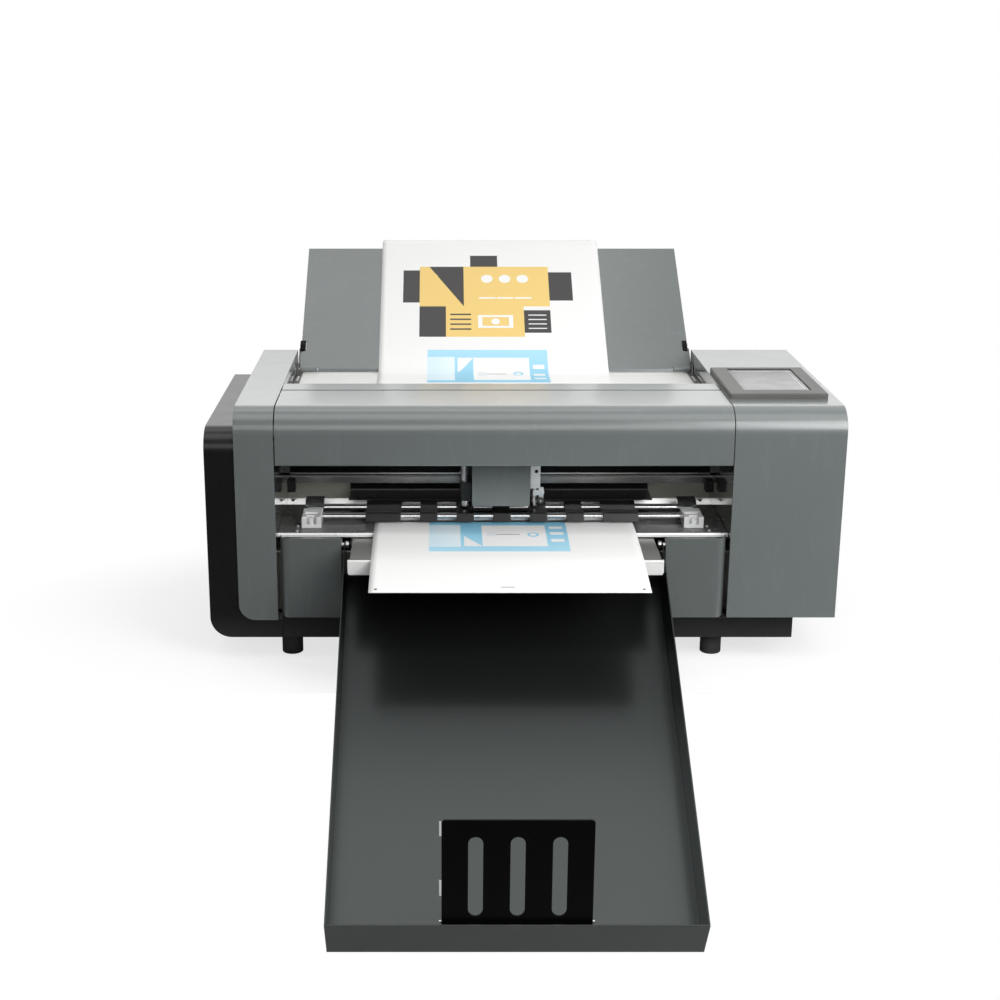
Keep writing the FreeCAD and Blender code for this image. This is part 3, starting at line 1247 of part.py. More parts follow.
def feed_sheet_lower():
    half = MEDIA_WIDTH / 2
    corner = on_chute(math.hypot(*CHUTE_RUN) + 0.16, 0.3)
    path = [on_chute(109, 0.3), corner + (2.0,), (158.0, corner[1])]
    return folded("yz", path, MEDIA, FEED_SHEET_X - half, FEED_SHEET_X + half)


def feed_sheet_upper():
    half = MEDIA_WIDTH / 2
    path = [on_feeder(2, 0.1), on_feeder(FEED_LENGTH + 14, 0.1) + (38.0,), (430.0, 436.0)]
    return folded("yz", path, MEDIA, FEED_SHEET_X - half, FEED_SHEET_X + half)


# Parts that share a node because they are alike and are fixed together

def side_plates():
    return group([joined([side_plate_left()]), side_plate_right(), x_motor_bracket()])


def cross_rails():
    return group([front_cross_rail(), rear_cross_rail()])


def front_panels():
    return group([front_panel_left(), front_panel_right()])


def paper_guides():
    return group([front_guide(), rear_guide()])


def stepper_motors():
    return group([feed_motor(), x_motor(), pickup_motor()])


def drive_belts():
    return group([feed_belt(), x_belt()])


def exit_shelf():
    return group([exit_ramp()] + ramp_brackets().Solids)


def screws_and_pins():
    return group(foot_screws().Solids + table_screws().Solids + tray_screws().Solids
                 + lid_hinge_pins().Solids + feeder_pins().Solids + [x_idler_pin()])


def circuit_boards():
    return group([display_board(), control_board()])


def rear_sockets():
    return group([power_inlet(), port_block(), switch_body()])


def drive_roller_shaft(row):
    return group([joined([drive_shaft(row), drive_pulley(row)])] + drive_rollers(row).Solids)


def motor_pulley_x():
    return joined([x_motor_shaft(), x_motor_pulley()])


def motor_pulley_feed():
    return joined([feed_motor_shaft(), feed_motor_pulley()])


def pickup_roller_shaft():
    return group([pickup_shaft()] + pickup_rollers().Solids)


def carriage_frame():
    return joined([carriage_plate(), carriage_block()])


def cut_carrier():
    return group([joined([cut_slide(), clamp_bracket()]), clamp_lever()])


NODES = {
    "base_frame": base_frame, "rubber_feet": rubber_feet, "screws_and_pins": screws_and_pins,
    "side_plates": side_plates, "cross_rails": cross_rails, "shaft_bearings": shaft_bearings,
    "left_end_cover": left_end_cover, "left_side_cover": left_side_cover,
    "right_housing": right_housing,
    "front_panels": front_panels, "rear_panel": rear_panel, "rear_top_cover": rear_top_cover,
    "front_table": front_table, "cutting_strip": cutting_strip, "paper_guides": paper_guides,
    "guide_chute": guide_chute, "feed_chute": feed_chute, "feed_deck": feed_deck,
    "exit_ramp": exit_shelf,
    "drive_belts": drive_belts, "stepper_motors": stepper_motors,
    "front_bearing_blocks": front_bearing_blocks, "rear_bearing_blocks": rear_bearing_blocks,
    "rail_beam": rail_beam, "x_rail": x_rail, "rail_end_stops": rail_end_stops,
    "screen_bezel": screen_bezel, "screen_glass": screen_glass, "circuit_boards": circuit_boards,
    "feeder_brackets": feeder_brackets, "power_supply": power_supply, "rear_sockets": rear_sockets,
    "exit_sheet": exit_sheet, "feed_sheet_lower": feed_sheet_lower,
    "lid": lid,
    "carriage_plate": carriage_frame, "carriage_cover": carriage_cover,
    "tool_solenoids": tool_solenoids,
    "crease_sleeve": crease_sleeve, "crease_clamp": crease_clamp, "crease_tool": crease_tool,
    "cut_slide": cut_carrier, "cut_tool": cut_tool, "clamp_knob": clamp_knob,
    "feed_motor_pulley": motor_pulley_feed, "x_motor_pulley": motor_pulley_x,
    "x_idler_pulley": x_idler_pulley,
    "pickup_rollers": pickup_roller_shaft,
    "feeder_panel": feeder_panel, "feed_sheet_upper": feed_sheet_upper,
    "output_tray": output_tray, "stop_hinge": stop_hinge, "tray_stop": tray_stop,
    "power_rocker": power_rocker,
}
for row in ROLLER_ROWS:
    NODES[row + "_drive_rollers"] = lambda row=row: drive_roller_shaft(row)
    NODES[row + "_pinch_shaft"] = lambda row=row: pinch_shaft(row)
    NODES[row + "_pinch_rollers"] = lambda row=row: pinch_rollers(row)


if __name__ == "__main__":
    for name, make in NODES.items():
        shape = make()
        shape.exportStep("parts/" + name + ".step")
        print(name, len(shape.Solids), round(shape.Volume), shape.isValid())
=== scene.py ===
import json
import math

import bmesh
import bpy
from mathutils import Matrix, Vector


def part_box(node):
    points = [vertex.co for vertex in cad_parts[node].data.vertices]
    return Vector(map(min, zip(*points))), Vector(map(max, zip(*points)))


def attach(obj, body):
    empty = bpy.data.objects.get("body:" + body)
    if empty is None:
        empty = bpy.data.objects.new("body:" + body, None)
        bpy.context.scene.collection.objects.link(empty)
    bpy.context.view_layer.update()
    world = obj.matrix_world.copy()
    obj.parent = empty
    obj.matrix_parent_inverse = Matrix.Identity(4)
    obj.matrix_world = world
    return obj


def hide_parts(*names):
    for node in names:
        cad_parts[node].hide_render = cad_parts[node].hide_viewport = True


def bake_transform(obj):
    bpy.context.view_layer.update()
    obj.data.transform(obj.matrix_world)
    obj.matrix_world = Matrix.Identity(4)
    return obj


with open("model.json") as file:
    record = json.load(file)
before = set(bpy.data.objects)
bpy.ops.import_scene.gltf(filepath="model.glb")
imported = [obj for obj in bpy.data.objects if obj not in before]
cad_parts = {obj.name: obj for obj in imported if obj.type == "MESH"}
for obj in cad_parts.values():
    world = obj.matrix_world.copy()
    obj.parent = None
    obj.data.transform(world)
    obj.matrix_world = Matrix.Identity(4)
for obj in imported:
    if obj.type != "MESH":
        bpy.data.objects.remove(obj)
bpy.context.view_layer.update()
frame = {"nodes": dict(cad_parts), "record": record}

scene = bpy.context.scene
scene.view_settings.view_transform = "Standard"
nodes = frame["nodes"]


# Camera at the photograph's viewing angle

CAMERA_PITCH = math.radians(16.45)

lens = bpy.data.cameras.new("camera")
lens.lens = 58.39
lens.sensor_width = 36.0
lens.shift_x = 0.06
lens.clip_end = 50.0
camera = bpy.data.objects.new("camera", lens)
camera.location = (-0.077, -2.052, 0.756)
camera.rotation_euler = (math.pi / 2 - CAMERA_PITCH, 0.0, 0.0)
scene.collection.objects.link(camera)
scene.camera = camera


# Finishes: all lengths and places are in metres, in the part's own frame

SHADER_INPUTS = {
    "colour": "Base Color", "rough": "Roughness", "metal": "Metallic", "normal": "Normal", "ior": "IOR",
    "coat": "Coat Weight", "coat_rough": "Coat Roughness", "through": "Transmission Weight",
    "specular": "Specular IOR Level", "specular_tint": "Specular Tint",
}
MIX_FIRST, MIX_SECOND, MIX_RESULT = 6, 7, 2


class Graph:
    """Shader nodes of one tree, wired by short calls. A value is a number, a colour or a socket."""

    def __init__(self, tree):
        self.tree = tree

    def add(self, kind, **settings):
        node = self.tree.nodes.new(kind)
        for key, value in settings.items():
            setattr(node, key, value)
        return node

    def feed(self, socket, value):
        if isinstance(value, bpy.types.NodeSocket):
            self.tree.links.new(value, socket)
        elif isinstance(value, tuple) and len(value) == 3 and len(socket.default_value) == 4:
            socket.default_value = value + (1.0,)
        else:
            socket.default_value = value

    def calc(self, operation, *values):
        node = self.add("ShaderNodeMath", operation=operation)
        for socket, value in zip(node.inputs, values):
            self.feed(socket, value)
        return node.outputs[0]

    def near(self, value, middle, reach):
        """1 where value lies within reach of middle, else 0."""
        return self.calc("COMPARE", value, middle, reach)

    def span(self, value, low, high, to_low=0.0, to_high=1.0, **settings):
        """Value's run from low to high, clamped and drawn out to run from to_low to to_high."""
        node = self.add("ShaderNodeMapRange", **settings)
        for socket, number in zip(node.inputs, (value, low, high, to_low, to_high)):
            self.feed(socket, number)
        return node.outputs[0]

    def spread(self, noise, to_low=0.0, to_high=1.0):
        """The middle of a noise's range, where nearly all of it lies, drawn out in the same way."""
        return self.span(noise, 0.3, 0.7, to_low, to_high)


class Finish(Graph):
    """One procedural material, worked out in the part's own coordinates."""

    def __init__(self, name):
        self.material = bpy.data.materials.new(name)
        self.material.use_nodes = True
        super().__init__(self.material.node_tree)
        self.tree.nodes.clear()
        self.out = self.add("ShaderNodeOutputMaterial")
        self.shader = self.add("ShaderNodeBsdfPrincipled")
        self.feed(self.out.inputs["Surface"], self.shader.outputs[0])
        self.coords = self.add("ShaderNodeTexCoord")
        self.place = self.coords.outputs["Object"]
        self.normal = None
        self.axes = None

    def set(self, **values):
        for key, value in values.items():
            self.feed(self.shader.inputs[SHADER_INPUTS[key]], value)

    def axis(self, letter):
        if self.axes is None:
            self.axes = self.add("ShaderNodeSeparateXYZ")
            self.feed(self.axes.inputs[0], self.place)
        return self.axes.outputs[letter]

    def scaled(self, stretch):
        node = self.add("ShaderNodeMapping")
        self.feed(node.inputs["Vector"], self.place)
        node.inputs["Scale"].default_value = stretch
        return node.outputs[0]

    def noise(self, scale, detail=2.0, stretch=None):
        """Noise with scale waves to the metre; an axis with a small stretch gets long streaks."""
        node = self.add("ShaderNodeTexNoise")
        self.feed(node.inputs["Vector"], self.place if stretch is None else self.scaled(stretch))
        node.inputs["Scale"].default_value = scale
        node.inputs["Detail"].default_value = detail
        return node.outputs[0]

    def mix(self, amount, first, second):
        """Colour first where amount is 0, second where it is 1."""
        node = self.add("ShaderNodeMix", data_type="RGBA")
        self.feed(node.inputs[0], amount)
        self.feed(node.inputs[MIX_FIRST], first)
        self.feed(node.inputs[MIX_SECOND], second)
        return node.outputs[MIX_RESULT]

    def soften(self, radius):
        """Round off the edges in the shading. Gives 1 on an edge and 0 away from it."""
        starts, full = 0.97, 0.8
        bevel = self.add("ShaderNodeBevel", samples=6)
        bevel.inputs["Radius"].default_value = radius
        self.normal = bevel.outputs[0]
        self.set(normal=self.normal)
        face = self.add("ShaderNodeNewGeometry").outputs["Normal"]
        turn = self.add("ShaderNodeVectorMath", operation="DOT_PRODUCT")
        self.feed(turn.inputs[0], face)
        self.feed(turn.inputs[1], self.normal)
        return self.span(turn.outputs["Value"], starts, full)

    def relief(self, height, depth, strength=1.0):
        """Bumps of height times depth, on top of those there already."""
        bump = self.add("ShaderNodeBump")
        bump.inputs["Strength"].default_value = strength
        bump.inputs["Distance"].default_value = depth
        self.feed(bump.inputs["Height"], height)
        if self.normal is not None:
            self.feed(bump.inputs["Normal"], self.normal)
        self.normal = bump.outputs[0]
        self.set(normal=self.normal)


def tint(colour, factor):
    return tuple(min(1.0, part * factor) for part in colour)


def painted(name, colour, rough, coat=0.9, peel=0.000010, grain=900.0, wear_and_highlight=0.25, edge=0.0010,
            specular=0.5, drift=0.02):
    """Satin powder coat: faint tone drift, fine grain, faint scuffs, thin bright line along the edges, part
    wear and part painted highlight.
    """
    f = Finish(name)
    edges = f.soften(edge)
    broad = f.span(f.noise(3.0), 0.35, 0.65)
    grit = f.noise(grain)
    tone = f.mix(broad, tint(colour, 0.97), tint(colour, 1.03))
    tone = f.mix(f.span(grit, 0.45, 0.75, 0.0, 0.10), tone, tint(colour, 1.3))
    scuffs = f.span(f.noise(90.0, 4.0, (1.0, 1.0, 0.25)), 0.56, 0.70)
    tone = f.mix(f.calc("MULTIPLY", scuffs, 0.05), tone, tint(colour, 2.4))
    # Edges drawn paler: partly wear, partly a painted highlight.
    edge_wear_and_highlight = f.calc("MULTIPLY", edges, f.span(f.noise(60.0, 3.0), 0.42, 0.62, 0.3 * wear_and_highlight, wear_and_highlight))
    tone = f.mix(edge_wear_and_highlight, tone, tint(colour, 2.2))
    roughness = f.spread(f.noise(30.0, 3.0), rough - drift, rough + drift)
    f.set(colour=tone, rough=f.calc("ADD", roughness, f.calc("MULTIPLY", grit, 0.03)),
          coat=coat, coat_rough=0.20, specular=specular)
    f.relief(grit, peel)
    return f


def metal(name, colour, rough, brush=(1.0, 1.0, 1.0), fine=900.0):
    """Bare or plated metal with a brushed or rolled grain and faint stains."""
    f = Finish(name)
    edges = f.soften(0.0006)
    lines = f.noise(fine, 3.0, brush)
    cloud = f.spread(f.noise(25.0, 4.0))
    tone = f.mix(cloud, tint(colour, 0.86), tint(colour, 1.04))
    tone = f.mix(f.span(lines, 0.35, 0.7, 0.0, 0.25), tone, tint(colour, 0.72))
    # Paler along the edges: a painted highlight.
    tone = f.mix(f.calc("MULTIPLY", edges, 0.4), tone, tint(colour, 1.25))
    roughness = f.spread(lines, rough - 0.04, rough + 0.05)
    f.set(colour=tone, metal=1.0, rough=f.calc("ADD", roughness, f.calc("MULTIPLY", cloud, 0.04)))
    f.relief(lines, 0.000012)
    return f


def plastic(name, colour, rough):
    """Moulded plastic with a fine sparkle texture."""
    f = Finish(name)
    edges = f.soften(0.0006)
    grit = f.noise(1100.0, 3.0)
    tone = f.mix(f.span(f.noise(12.0, 3.0), 0.35, 0.65), tint(colour, 0.9), tint(colour, 1.1))
    # Paler along the edges: a painted highlight.
    tone = f.mix(f.calc("MULTIPLY", edges, 0.2), tone, tint(colour, 1.8))
    f.set(colour=tone, rough=f.spread(grit, rough - 0.05, rough + 0.06))
    f.relief(grit, 0.000018)
    return f


def rubber(name, colour):
    """Matt rubber, slightly dusty, with a ground surface."""
    dust = (0.12, 0.118, 0.11)
    f = Finish(name)
    f.soften(0.0005)
    grit = f.noise(1600.0)
    dusty = f.span(f.noise(45.0, 4.0), 0.45, 0.72, 0.0, 0.25)
    ground = f.mix(grit, tint(colour, 0.8), tint(colour, 1.3))
    f.set(colour=f.mix(dusty, ground, dust), rough=f.spread(grit, 0.68, 0.83))
    f.relief(grit, 0.00005)
    return f


def toothed_belt():
    """Belt with its ribs along the run."""
    pitch = 0.002
    f = Finish("belt_rubber")
    f.soften(0.0003)
    grit = f.noise(1500.0)
    run = f.calc("ADD", f.axis("X"), f.calc("ADD", f.axis("Y"), f.axis("Z")))
    ribs = f.calc("SINE", f.calc("MULTIPLY", run, 2 * math.pi / pitch))
    f.set(colour=f.mix(f.span(ribs, -0.5, 0.8), (0.012, 0.012, 0.013), (0.035, 0.035, 0.035)),
          rough=f.spread(grit, 0.6, 0.75))
    f.relief(ribs, 0.0002, 0.6)
    return f


def glossy_table():
    """Black satin sheet, drawn paler towards the front as a painted reflected sheen, whose rolled front edge
    is left bright.
    """
    sheen_starts, sheen_full = -0.098, -0.108
    rolled_edge = -0.1675
    f = Finish("gloss_black")
    front = f.calc("LESS_THAN", f.axis("Y"), rolled_edge)
    mottle = f.span(f.noise(9.0, 3.0), 0.35, 0.65)
    lacquer = f.mix(mottle, (0.014, 0.014, 0.014), (0.022, 0.021, 0.021))
    # polished holds painted reflected light, not a polish: the sheet is drawn paler towards the front.
    polished = f.mix(mottle, (0.088, 0.088, 0.087), (0.104, 0.104, 0.103))
    lacquer = f.mix(f.span(f.axis("Y"), sheen_starts, sheen_full), lacquer, polished)
    lines = f.noise(500.0, 3.0, (0.04, 1.0, 1.0))
    bright = f.mix(lines, (0.90, 0.90, 0.89), (0.97, 0.97, 0.96))
    f.set(colour=f.mix(front, lacquer, bright), metal=f.calc("MULTIPLY", front, 0.2),
          rough=f.span(f.noise(24.0, 3.0), 0.3, 0.75, 0.25, 0.29))
    f.relief(f.noise(40.0, 1.0), 0.00001, 0.4)
    return f


def light_steel(name, low, high):
    """Pale satin sheet of the deck."""
    f = Finish(name)
    edges = f.soften(0.0008)
    grit = f.noise(900.0)
    drift = f.span(f.noise(6.0, 4.0), 0.35, 0.65)
    stains = f.span(f.noise(70.0, 4.0, (1.0, 0.3, 0.3)), 0.5, 0.7)
    tone = f.mix(f.calc("MULTIPLY", stains, 0.08), f.mix(drift, low, high), (0.5, 0.49, 0.46))
    # Paler along the edges: a painted highlight.
    tone = f.mix(f.calc("MULTIPLY", edges, 0.5), tone, (0.9, 0.9, 0.88))
    f.set(colour=tone, metal=f.spread(f.noise(14.0), 0.08, 0.14), rough=f.spread(grit, 0.34, 0.44))
    f.relief(grit, 0.000012)
    return f


def chute_steel():
    """Satin chute with painted light and shade: the slope is drawn olive grey as shade, the lip beside the
    table near white as light; the lip's shading rolls forward and catches the front light.
    """
    lip_bottom, lip_top = 0.1584, 0.1588
    lip_middle = -0.033
    lip_steepness = 2.6
    f = Finish("chute_paint_shade_and_light")
    flat_lip = f.span(f.axis("Z"), lip_top, lip_bottom)
    grit = f.noise(900.0)
    drift = f.span(f.noise(6.0, 3.0), 0.35, 0.65)
    # Painted light and shade: the slope is drawn olive grey as shade and the lip near white as light.
    slope = f.mix(drift, (0.37, 0.37, 0.325), (0.42, 0.42, 0.37))
    lip = f.mix(drift, (0.93, 0.93, 0.91), (0.96, 0.96, 0.95))
    f.set(colour=f.mix(flat_lip, slope, lip), metal=f.span(flat_lip, 0.0, 1.0, 0.3, 0.9),
          rough=f.spread(grit, 0.34, 0.42))
    roll = f.calc("MULTIPLY", f.calc("ADD", f.axis("Y"), -lip_middle), lip_steepness)
    f.relief(f.calc("MULTIPLY", roll, flat_lip), 1.0)
    f.relief(grit, 0.000010)
    return f


def anodised():
    """Dark anodised extrusion with faint drawing lines and a black line of painted shade along it, just under
    the rail.
    """
    groove_shade_middle, groove_shade_half = 0.1992, 0.0017
    f = Finish("anodised")
    lines = f.noise(300.0, 1.0, (0.01, 1.0, 1.0))
    tone = f.mix(f.span(lines, 0.35, 0.65), (0.27, 0.27, 0.265), (0.30, 0.30, 0.295))
    # Painted shade: a black line along the beam just under the rail.
    groove_shade = f.near(f.axis("Z"), groove_shade_middle, groove_shade_half)
    f.set(colour=f.mix(groove_shade, tone, (0.012, 0.012, 0.012)), metal=1.0, rough=f.spread(lines, 0.25, 0.27))
    return f


def stop_steel():
    """Deep black plate with faintly paler edges, a painted highlight; its two small side tabs are drawn
    bright, a painted highlight on their edges.
    """
    tabs_end = -0.0757
    f = Finish("stop_paint")
    edges = f.soften(0.0008)
    # bare marks the two small side tabs, drawn pale as a painted highlight on their edges.
    bare = f.calc("LESS_THAN", f.axis("X"), tabs_end)
    grit = f.noise(1200.0)
    black = f.mix(grit, (0.0014, 0.0014, 0.0014), (0.003, 0.003, 0.003))
    # Paler along the edges: a painted highlight.
    black = f.mix(f.calc("MULTIPLY", edges, 0.3), black, (0.12, 0.12, 0.12))
    steel = f.mix(grit, (0.80, 0.80, 0.79), (0.92, 0.92, 0.91))
    f.set(colour=f.mix(bare, black, steel), metal=f.calc("MULTIPLY", bare, 0.2),
          rough=f.spread(grit, 0.26, 0.32), specular=0.12)
    f.relief(grit, 0.00001)
    return f


def slide_metal():
    """Bright milled block with painted shade, drawn black, at the bottom of its cross hole."""
    hole_x, hole_z, hole_radius = 0.0430, 0.2190, 0.0023
    f = metal("slide_metal", (0.93, 0.93, 0.92), 0.34, (1.0, 1.0, 0.1), 700.0)
    side = f.calc("SUBTRACT", f.axis("X"), hole_x)
    rise = f.calc("SUBTRACT", f.axis("Z"), hole_z)
    reach = f.calc("ADD", f.calc("MULTIPLY", side, side), f.calc("MULTIPLY", rise, rise))
    # Painted shade: the bottom of the cross hole is drawn black and not metallic.
    hole = f.calc("LESS_THAN", reach, hole_radius ** 2)
    bright = f.shader.inputs["Base Color"].links[0].from_socket
    f.set(colour=f.mix(hole, bright, (0.004, 0.004, 0.004)), metal=f.calc("SUBTRACT", 1.0, hole))
    return f


def rail_steel():
    """Black oxide rail with its lower running edge ground bright."""
    running_edge = 0.2042
    f = Finish("rail_oxide")
    low = f.calc("LESS_THAN", f.axis("Z"), running_edge)
    lines = f.noise(800.0, 3.0, (0.03, 1.0, 1.0))
    oxide = f.mix(lines, (0.006, 0.006, 0.007), (0.016, 0.016, 0.017))
    ground = f.mix(lines, (0.42, 0.42, 0.43), (0.60, 0.60, 0.60))
    f.set(colour=f.mix(low, oxide, ground), metal=f.calc("MULTIPLY", low, 0.9),
          rough=f.spread(lines, 0.24, 0.34), specular=0.06)
    f.relief(lines, 0.000002)
    return f


def ramp_steel():
    """Brushed sheet, drawn dark on top as painted shade; its front flange is drawn pale as painted light,
    palest along the rim as a painted highlight.
    """
    flange_starts = -0.2492
    f = Finish("ramp_steel")
    edges = f.soften(0.0012)
    front = f.calc("LESS_THAN", f.axis("Y"), flange_starts)
    lines = f.noise(700.0, 3.0, (0.05, 1.0, 1.0))
    # Painted light and shade: the top is drawn dark and the front flange pale.
    sheet = f.mix(lines, (0.22, 0.22, 0.21), (0.34, 0.34, 0.325))
    flange = f.mix(f.noise(300.0, 3.0), (0.84, 0.84, 0.83), (0.90, 0.90, 0.89))
    # Paler still along the rim: a painted highlight.
    tone = f.mix(f.calc("MULTIPLY", edges, 0.6), f.mix(front, sheet, flange), (0.95, 0.95, 0.94))
    f.set(colour=tone, metal=f.span(front, 0.0, 1.0, 0.8, 0.1), rough=f.spread(lines, 0.30, 0.42))
    f.relief(lines, 0.000010)
    return f


def side_steel():
    """Dark grey-green enamel of the side plates, polished by the passing sheets."""
    f = Finish("side_enamel")
    edges = f.soften(0.0006)
    cloud = f.spread(f.noise(18.0, 4.0))
    tone = f.mix(cloud, (0.075, 0.088, 0.083), (0.095, 0.108, 0.102))
    # Paler along the edges: a painted highlight.
    tone = f.mix(f.calc("MULTIPLY", edges, 0.4), tone, (0.3, 0.32, 0.31))
    f.set(colour=tone, rough=f.spread(f.noise(120.0, 4.0, (1.0, 0.1, 1.0)), 0.08, 0.16),
          coat=1.0, coat_rough=0.05)
    f.relief(f.noise(500.0), 0.000006)
    return f


def see_through(name, dark, light, through, grain):
    """Moulded clear block with mould haze and polishing marks."""
    f = Finish(name)
    f.soften(0.0008)
    haze = f.noise(grain, 4.0)
    f.set(colour=f.mix(haze, dark, light), rough=f.span(haze, 0.35, 0.7, 0.05, 0.14),
          through=through, ior=1.49)
    f.relief(haze, 0.00002)
    return f


def dark_glass():
    """Cover glass of the unlit display: black border, drawn wide so that it also stands in for shade on the
    frame's inner walls; paler active area; a pale line of painted highlight at its right and rear.
    """
    # The black border is drawn wide, so that it also stands in for painted shade on the frame's inner walls.
    border_x, border_y = 0.0052, 0.0095
    line_x, line_y = 0.0056, 0.0106
    line_half_x, line_half_y = 0.0004, 0.0011
    f = Finish("glass")
    low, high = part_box("screen_glass")
    middle = (low + high) / 2
    half = (high - low) / 2
    inside = f.calc("MULTIPLY", f.near(f.axis("X"), middle.x, half.x - border_x),
                    f.near(f.axis("Y"), middle.y, half.y - border_y))
    smudge = f.span(f.noise(38.0, 5.0), 0.4, 0.7)
    active = f.mix(smudge, (0.055, 0.053, 0.051), (0.075, 0.073, 0.070))
    # Painted highlight: a pale line just inside the black border at the right and rear.
    rim = f.calc("MAXIMUM", f.near(f.axis("X"), middle.x + half.x - line_x, line_half_x),
                 f.near(f.axis("Y"), middle.y + half.y - line_y, line_half_y))
    f.set(colour=f.mix(inside, (0.006, 0.006, 0.007), f.mix(rim, active, (0.45, 0.45, 0.43))),
          rough=f.span(smudge, 0.0, 1.0, 0.05, 0.13))
    f.relief(f.noise(6.0), 0.0001, 0.2)
    return f


def circuit_board():
    """Green solder mask with copper runs under it and pale component ink."""
    f = Finish("board")
    f.soften(0.0003)
    bricks = f.add("ShaderNodeTexBrick")
    f.feed(bricks.inputs["Vector"], f.place)
    bricks.inputs["Scale"].default_value = 120.0
    bricks.inputs["Mortar Size"].default_value = 0.06
    runs = bricks.outputs["Fac"]
    mask = f.mix(runs, (0.012, 0.085, 0.035), (0.03, 0.17, 0.07))
    pads = f.span(f.noise(420.0, 1.0), 0.66, 0.7)
    f.set(colour=f.mix(pads, mask, (0.62, 0.6, 0.5)), rough=f.spread(f.noise(200.0), 0.25, 0.4))
    f.relief(runs, 0.00006, 0.6)
    return f


def knurled(name, colour):
    """Black oxide knob with fine crossing grooves round it."""
    pitch = 0.0009
    f = metal(name, colour, 0.38)
    spiral = f.calc("MULTIPLY", f.calc("ADD", f.axis("X"), f.axis("Z")), 2 * math.pi / pitch)
    f.relief(f.calc("SINE", spiral), 0.0001, 0.5)
    return f


def tray_paint():
    """Smooth black lacquer that mirrors the light above it with a faint green."""
    f = painted("tray_paint", (0.008, 0.0084, 0.0084), 0.20, coat=0.0, peel=0.000004, grain=1100.0,
                wear_and_highlight=0.35, edge=0.0012, specular=0.70, drift=0.006)
    f.set(specular_tint=(0.90, 1.0, 0.98))
    return f


GREY = (0.142, 0.161, 0.158)
BRUSHED_ALONG_X = (0.05, 1.0, 1.0)
BRUSHED_ALONG_Z = (1.0, 1.0, 0.2)
SLOT_FINISHES = {
    "grey_paint": painted("grey_paint", GREY, 0.34),
    "black_paint": painted("black_paint", (0.006, 0.006, 0.006), 0.27, coat=0.0, peel=0.00001,
                           grain=1200.0, wear_and_highlight=0.12),
    "gloss_black": glossy_table(),
    "light_paint": light_steel("light_paint", (0.85, 0.845, 0.82), (0.91, 0.905, 0.88)),
    "black_plastic": plastic("black_plastic", (0.012, 0.012, 0.012), 0.42),
    "grey_plastic": plastic("grey_plastic", (0.10, 0.098, 0.095), 0.48),
    "rubber": rubber("rubber", (0.014, 0.014, 0.014)),
    "belt_rubber": toothed_belt(),
    "steel": metal("steel", (0.66, 0.65, 0.63), 0.26, BRUSHED_ALONG_Z),
    "plate_steel": metal("plate_steel", (0.42, 0.415, 0.38), 0.36, (1.0, 0.12, 1.0)),
    "chrome": metal("chrome", (0.86, 0.86, 0.86), 0.18, (1.0, 0.1, 0.1), 1400.0),
    "aluminium": metal("aluminium", (0.74, 0.74, 0.73), 0.30, BRUSHED_ALONG_X),
    "bronze": metal("bronze", (0.48, 0.30, 0.13), 0.34),
    "clear_plastic": see_through("clear_plastic", (0.95, 0.96, 0.96), (0.99, 0.99, 0.99), 0.18, 300.0),
    "glass": dark_glass(),
    "board": circuit_board(),
}
OWN_FINISHES = {
    "clamp_knob": knurled("knob_oxide", (0.10, 0.10, 0.10)),
    "side_plates": side_steel(),
    # Painted shade: the front panels take the grey paint darkened to 0.8 of its tone.
    "front_panels": painted("panel_paint_shaded", tint(GREY, 0.8), 0.34),
    "exit_ramp": ramp_steel(),
    "output_tray": tray_paint(),
    "tray_stop": stop_steel(),
    "feed_chute": chute_steel(),
    "cut_slide": slide_metal(),
    "crease_sleeve": metal("sleeve_steel", (0.80, 0.80, 0.81), 0.38, BRUSHED_ALONG_Z),
    "rear_bearing_blocks": see_through("smoked_plastic", (0.50, 0.51, 0.52), (0.62, 0.63, 0.64), 0.94, 260.0),
    "feeder_brackets": metal("bracket_steel", (0.20, 0.20, 0.195), 0.34, BRUSHED_ALONG_Z),
    "rail_beam": anodised(),
    "x_rail": rail_steel(),
}


def dress(name, finish):
    slots = nodes[name].data.materials
    slots.clear()
    slots.append(finish.material)
    for face in nodes[name].data.polygons:
        face.material_index = 0


for part in frame["record"]["subparts"]:
    own = OWN_FINISHES.get(part["node"])
    finish = own or SLOT_FINISHES.get(part["material_slot"])
    if finish is not None:
        dress(part["node"], finish)


def placed(name, mesh, material):
    thing = bpy.data.objects.new(name, mesh)
    scene.collection.objects.link(thing)
    thing.data.materials.append(material)
    return thing


# Slopes that the sheets follow

FEEDER_SLOPE = math.radians(34.0)
FEEDER_Y, FEEDER_Z = 0.166, 0.2916
CHUTE_Y, CHUTE_Z = -0.019, 0.158
CHUTE_WAY = Vector((0.089, 0.128)).normalized()


def feeder_point(along, above):
    """(y, z) of a point above the feeder panel's face, along its slope."""
    return (FEEDER_Y + math.cos(FEEDER_SLOPE) * along - math.sin(FEEDER_SLOPE) * above,
            FEEDER_Z + math.sin(FEEDER_SLOPE) * along + math.cos(FEEDER_SLOPE) * above)


def chute_point(along, above):
    """(y, z) of a point above the chute's face, along its slope."""
    return (CHUTE_Y + CHUTE_WAY.x * along - CHUTE_WAY.y * above,
            CHUTE_Z + CHUTE_WAY.y * along + CHUTE_WAY.x * above)


# Sheets of card

CARD_WIDTH = 0.320
CARD_THICKNESS = 0.0004
CARD_COLUMNS = 40
RUN_STEP = 0.004
BEND_STEP = 0.0012


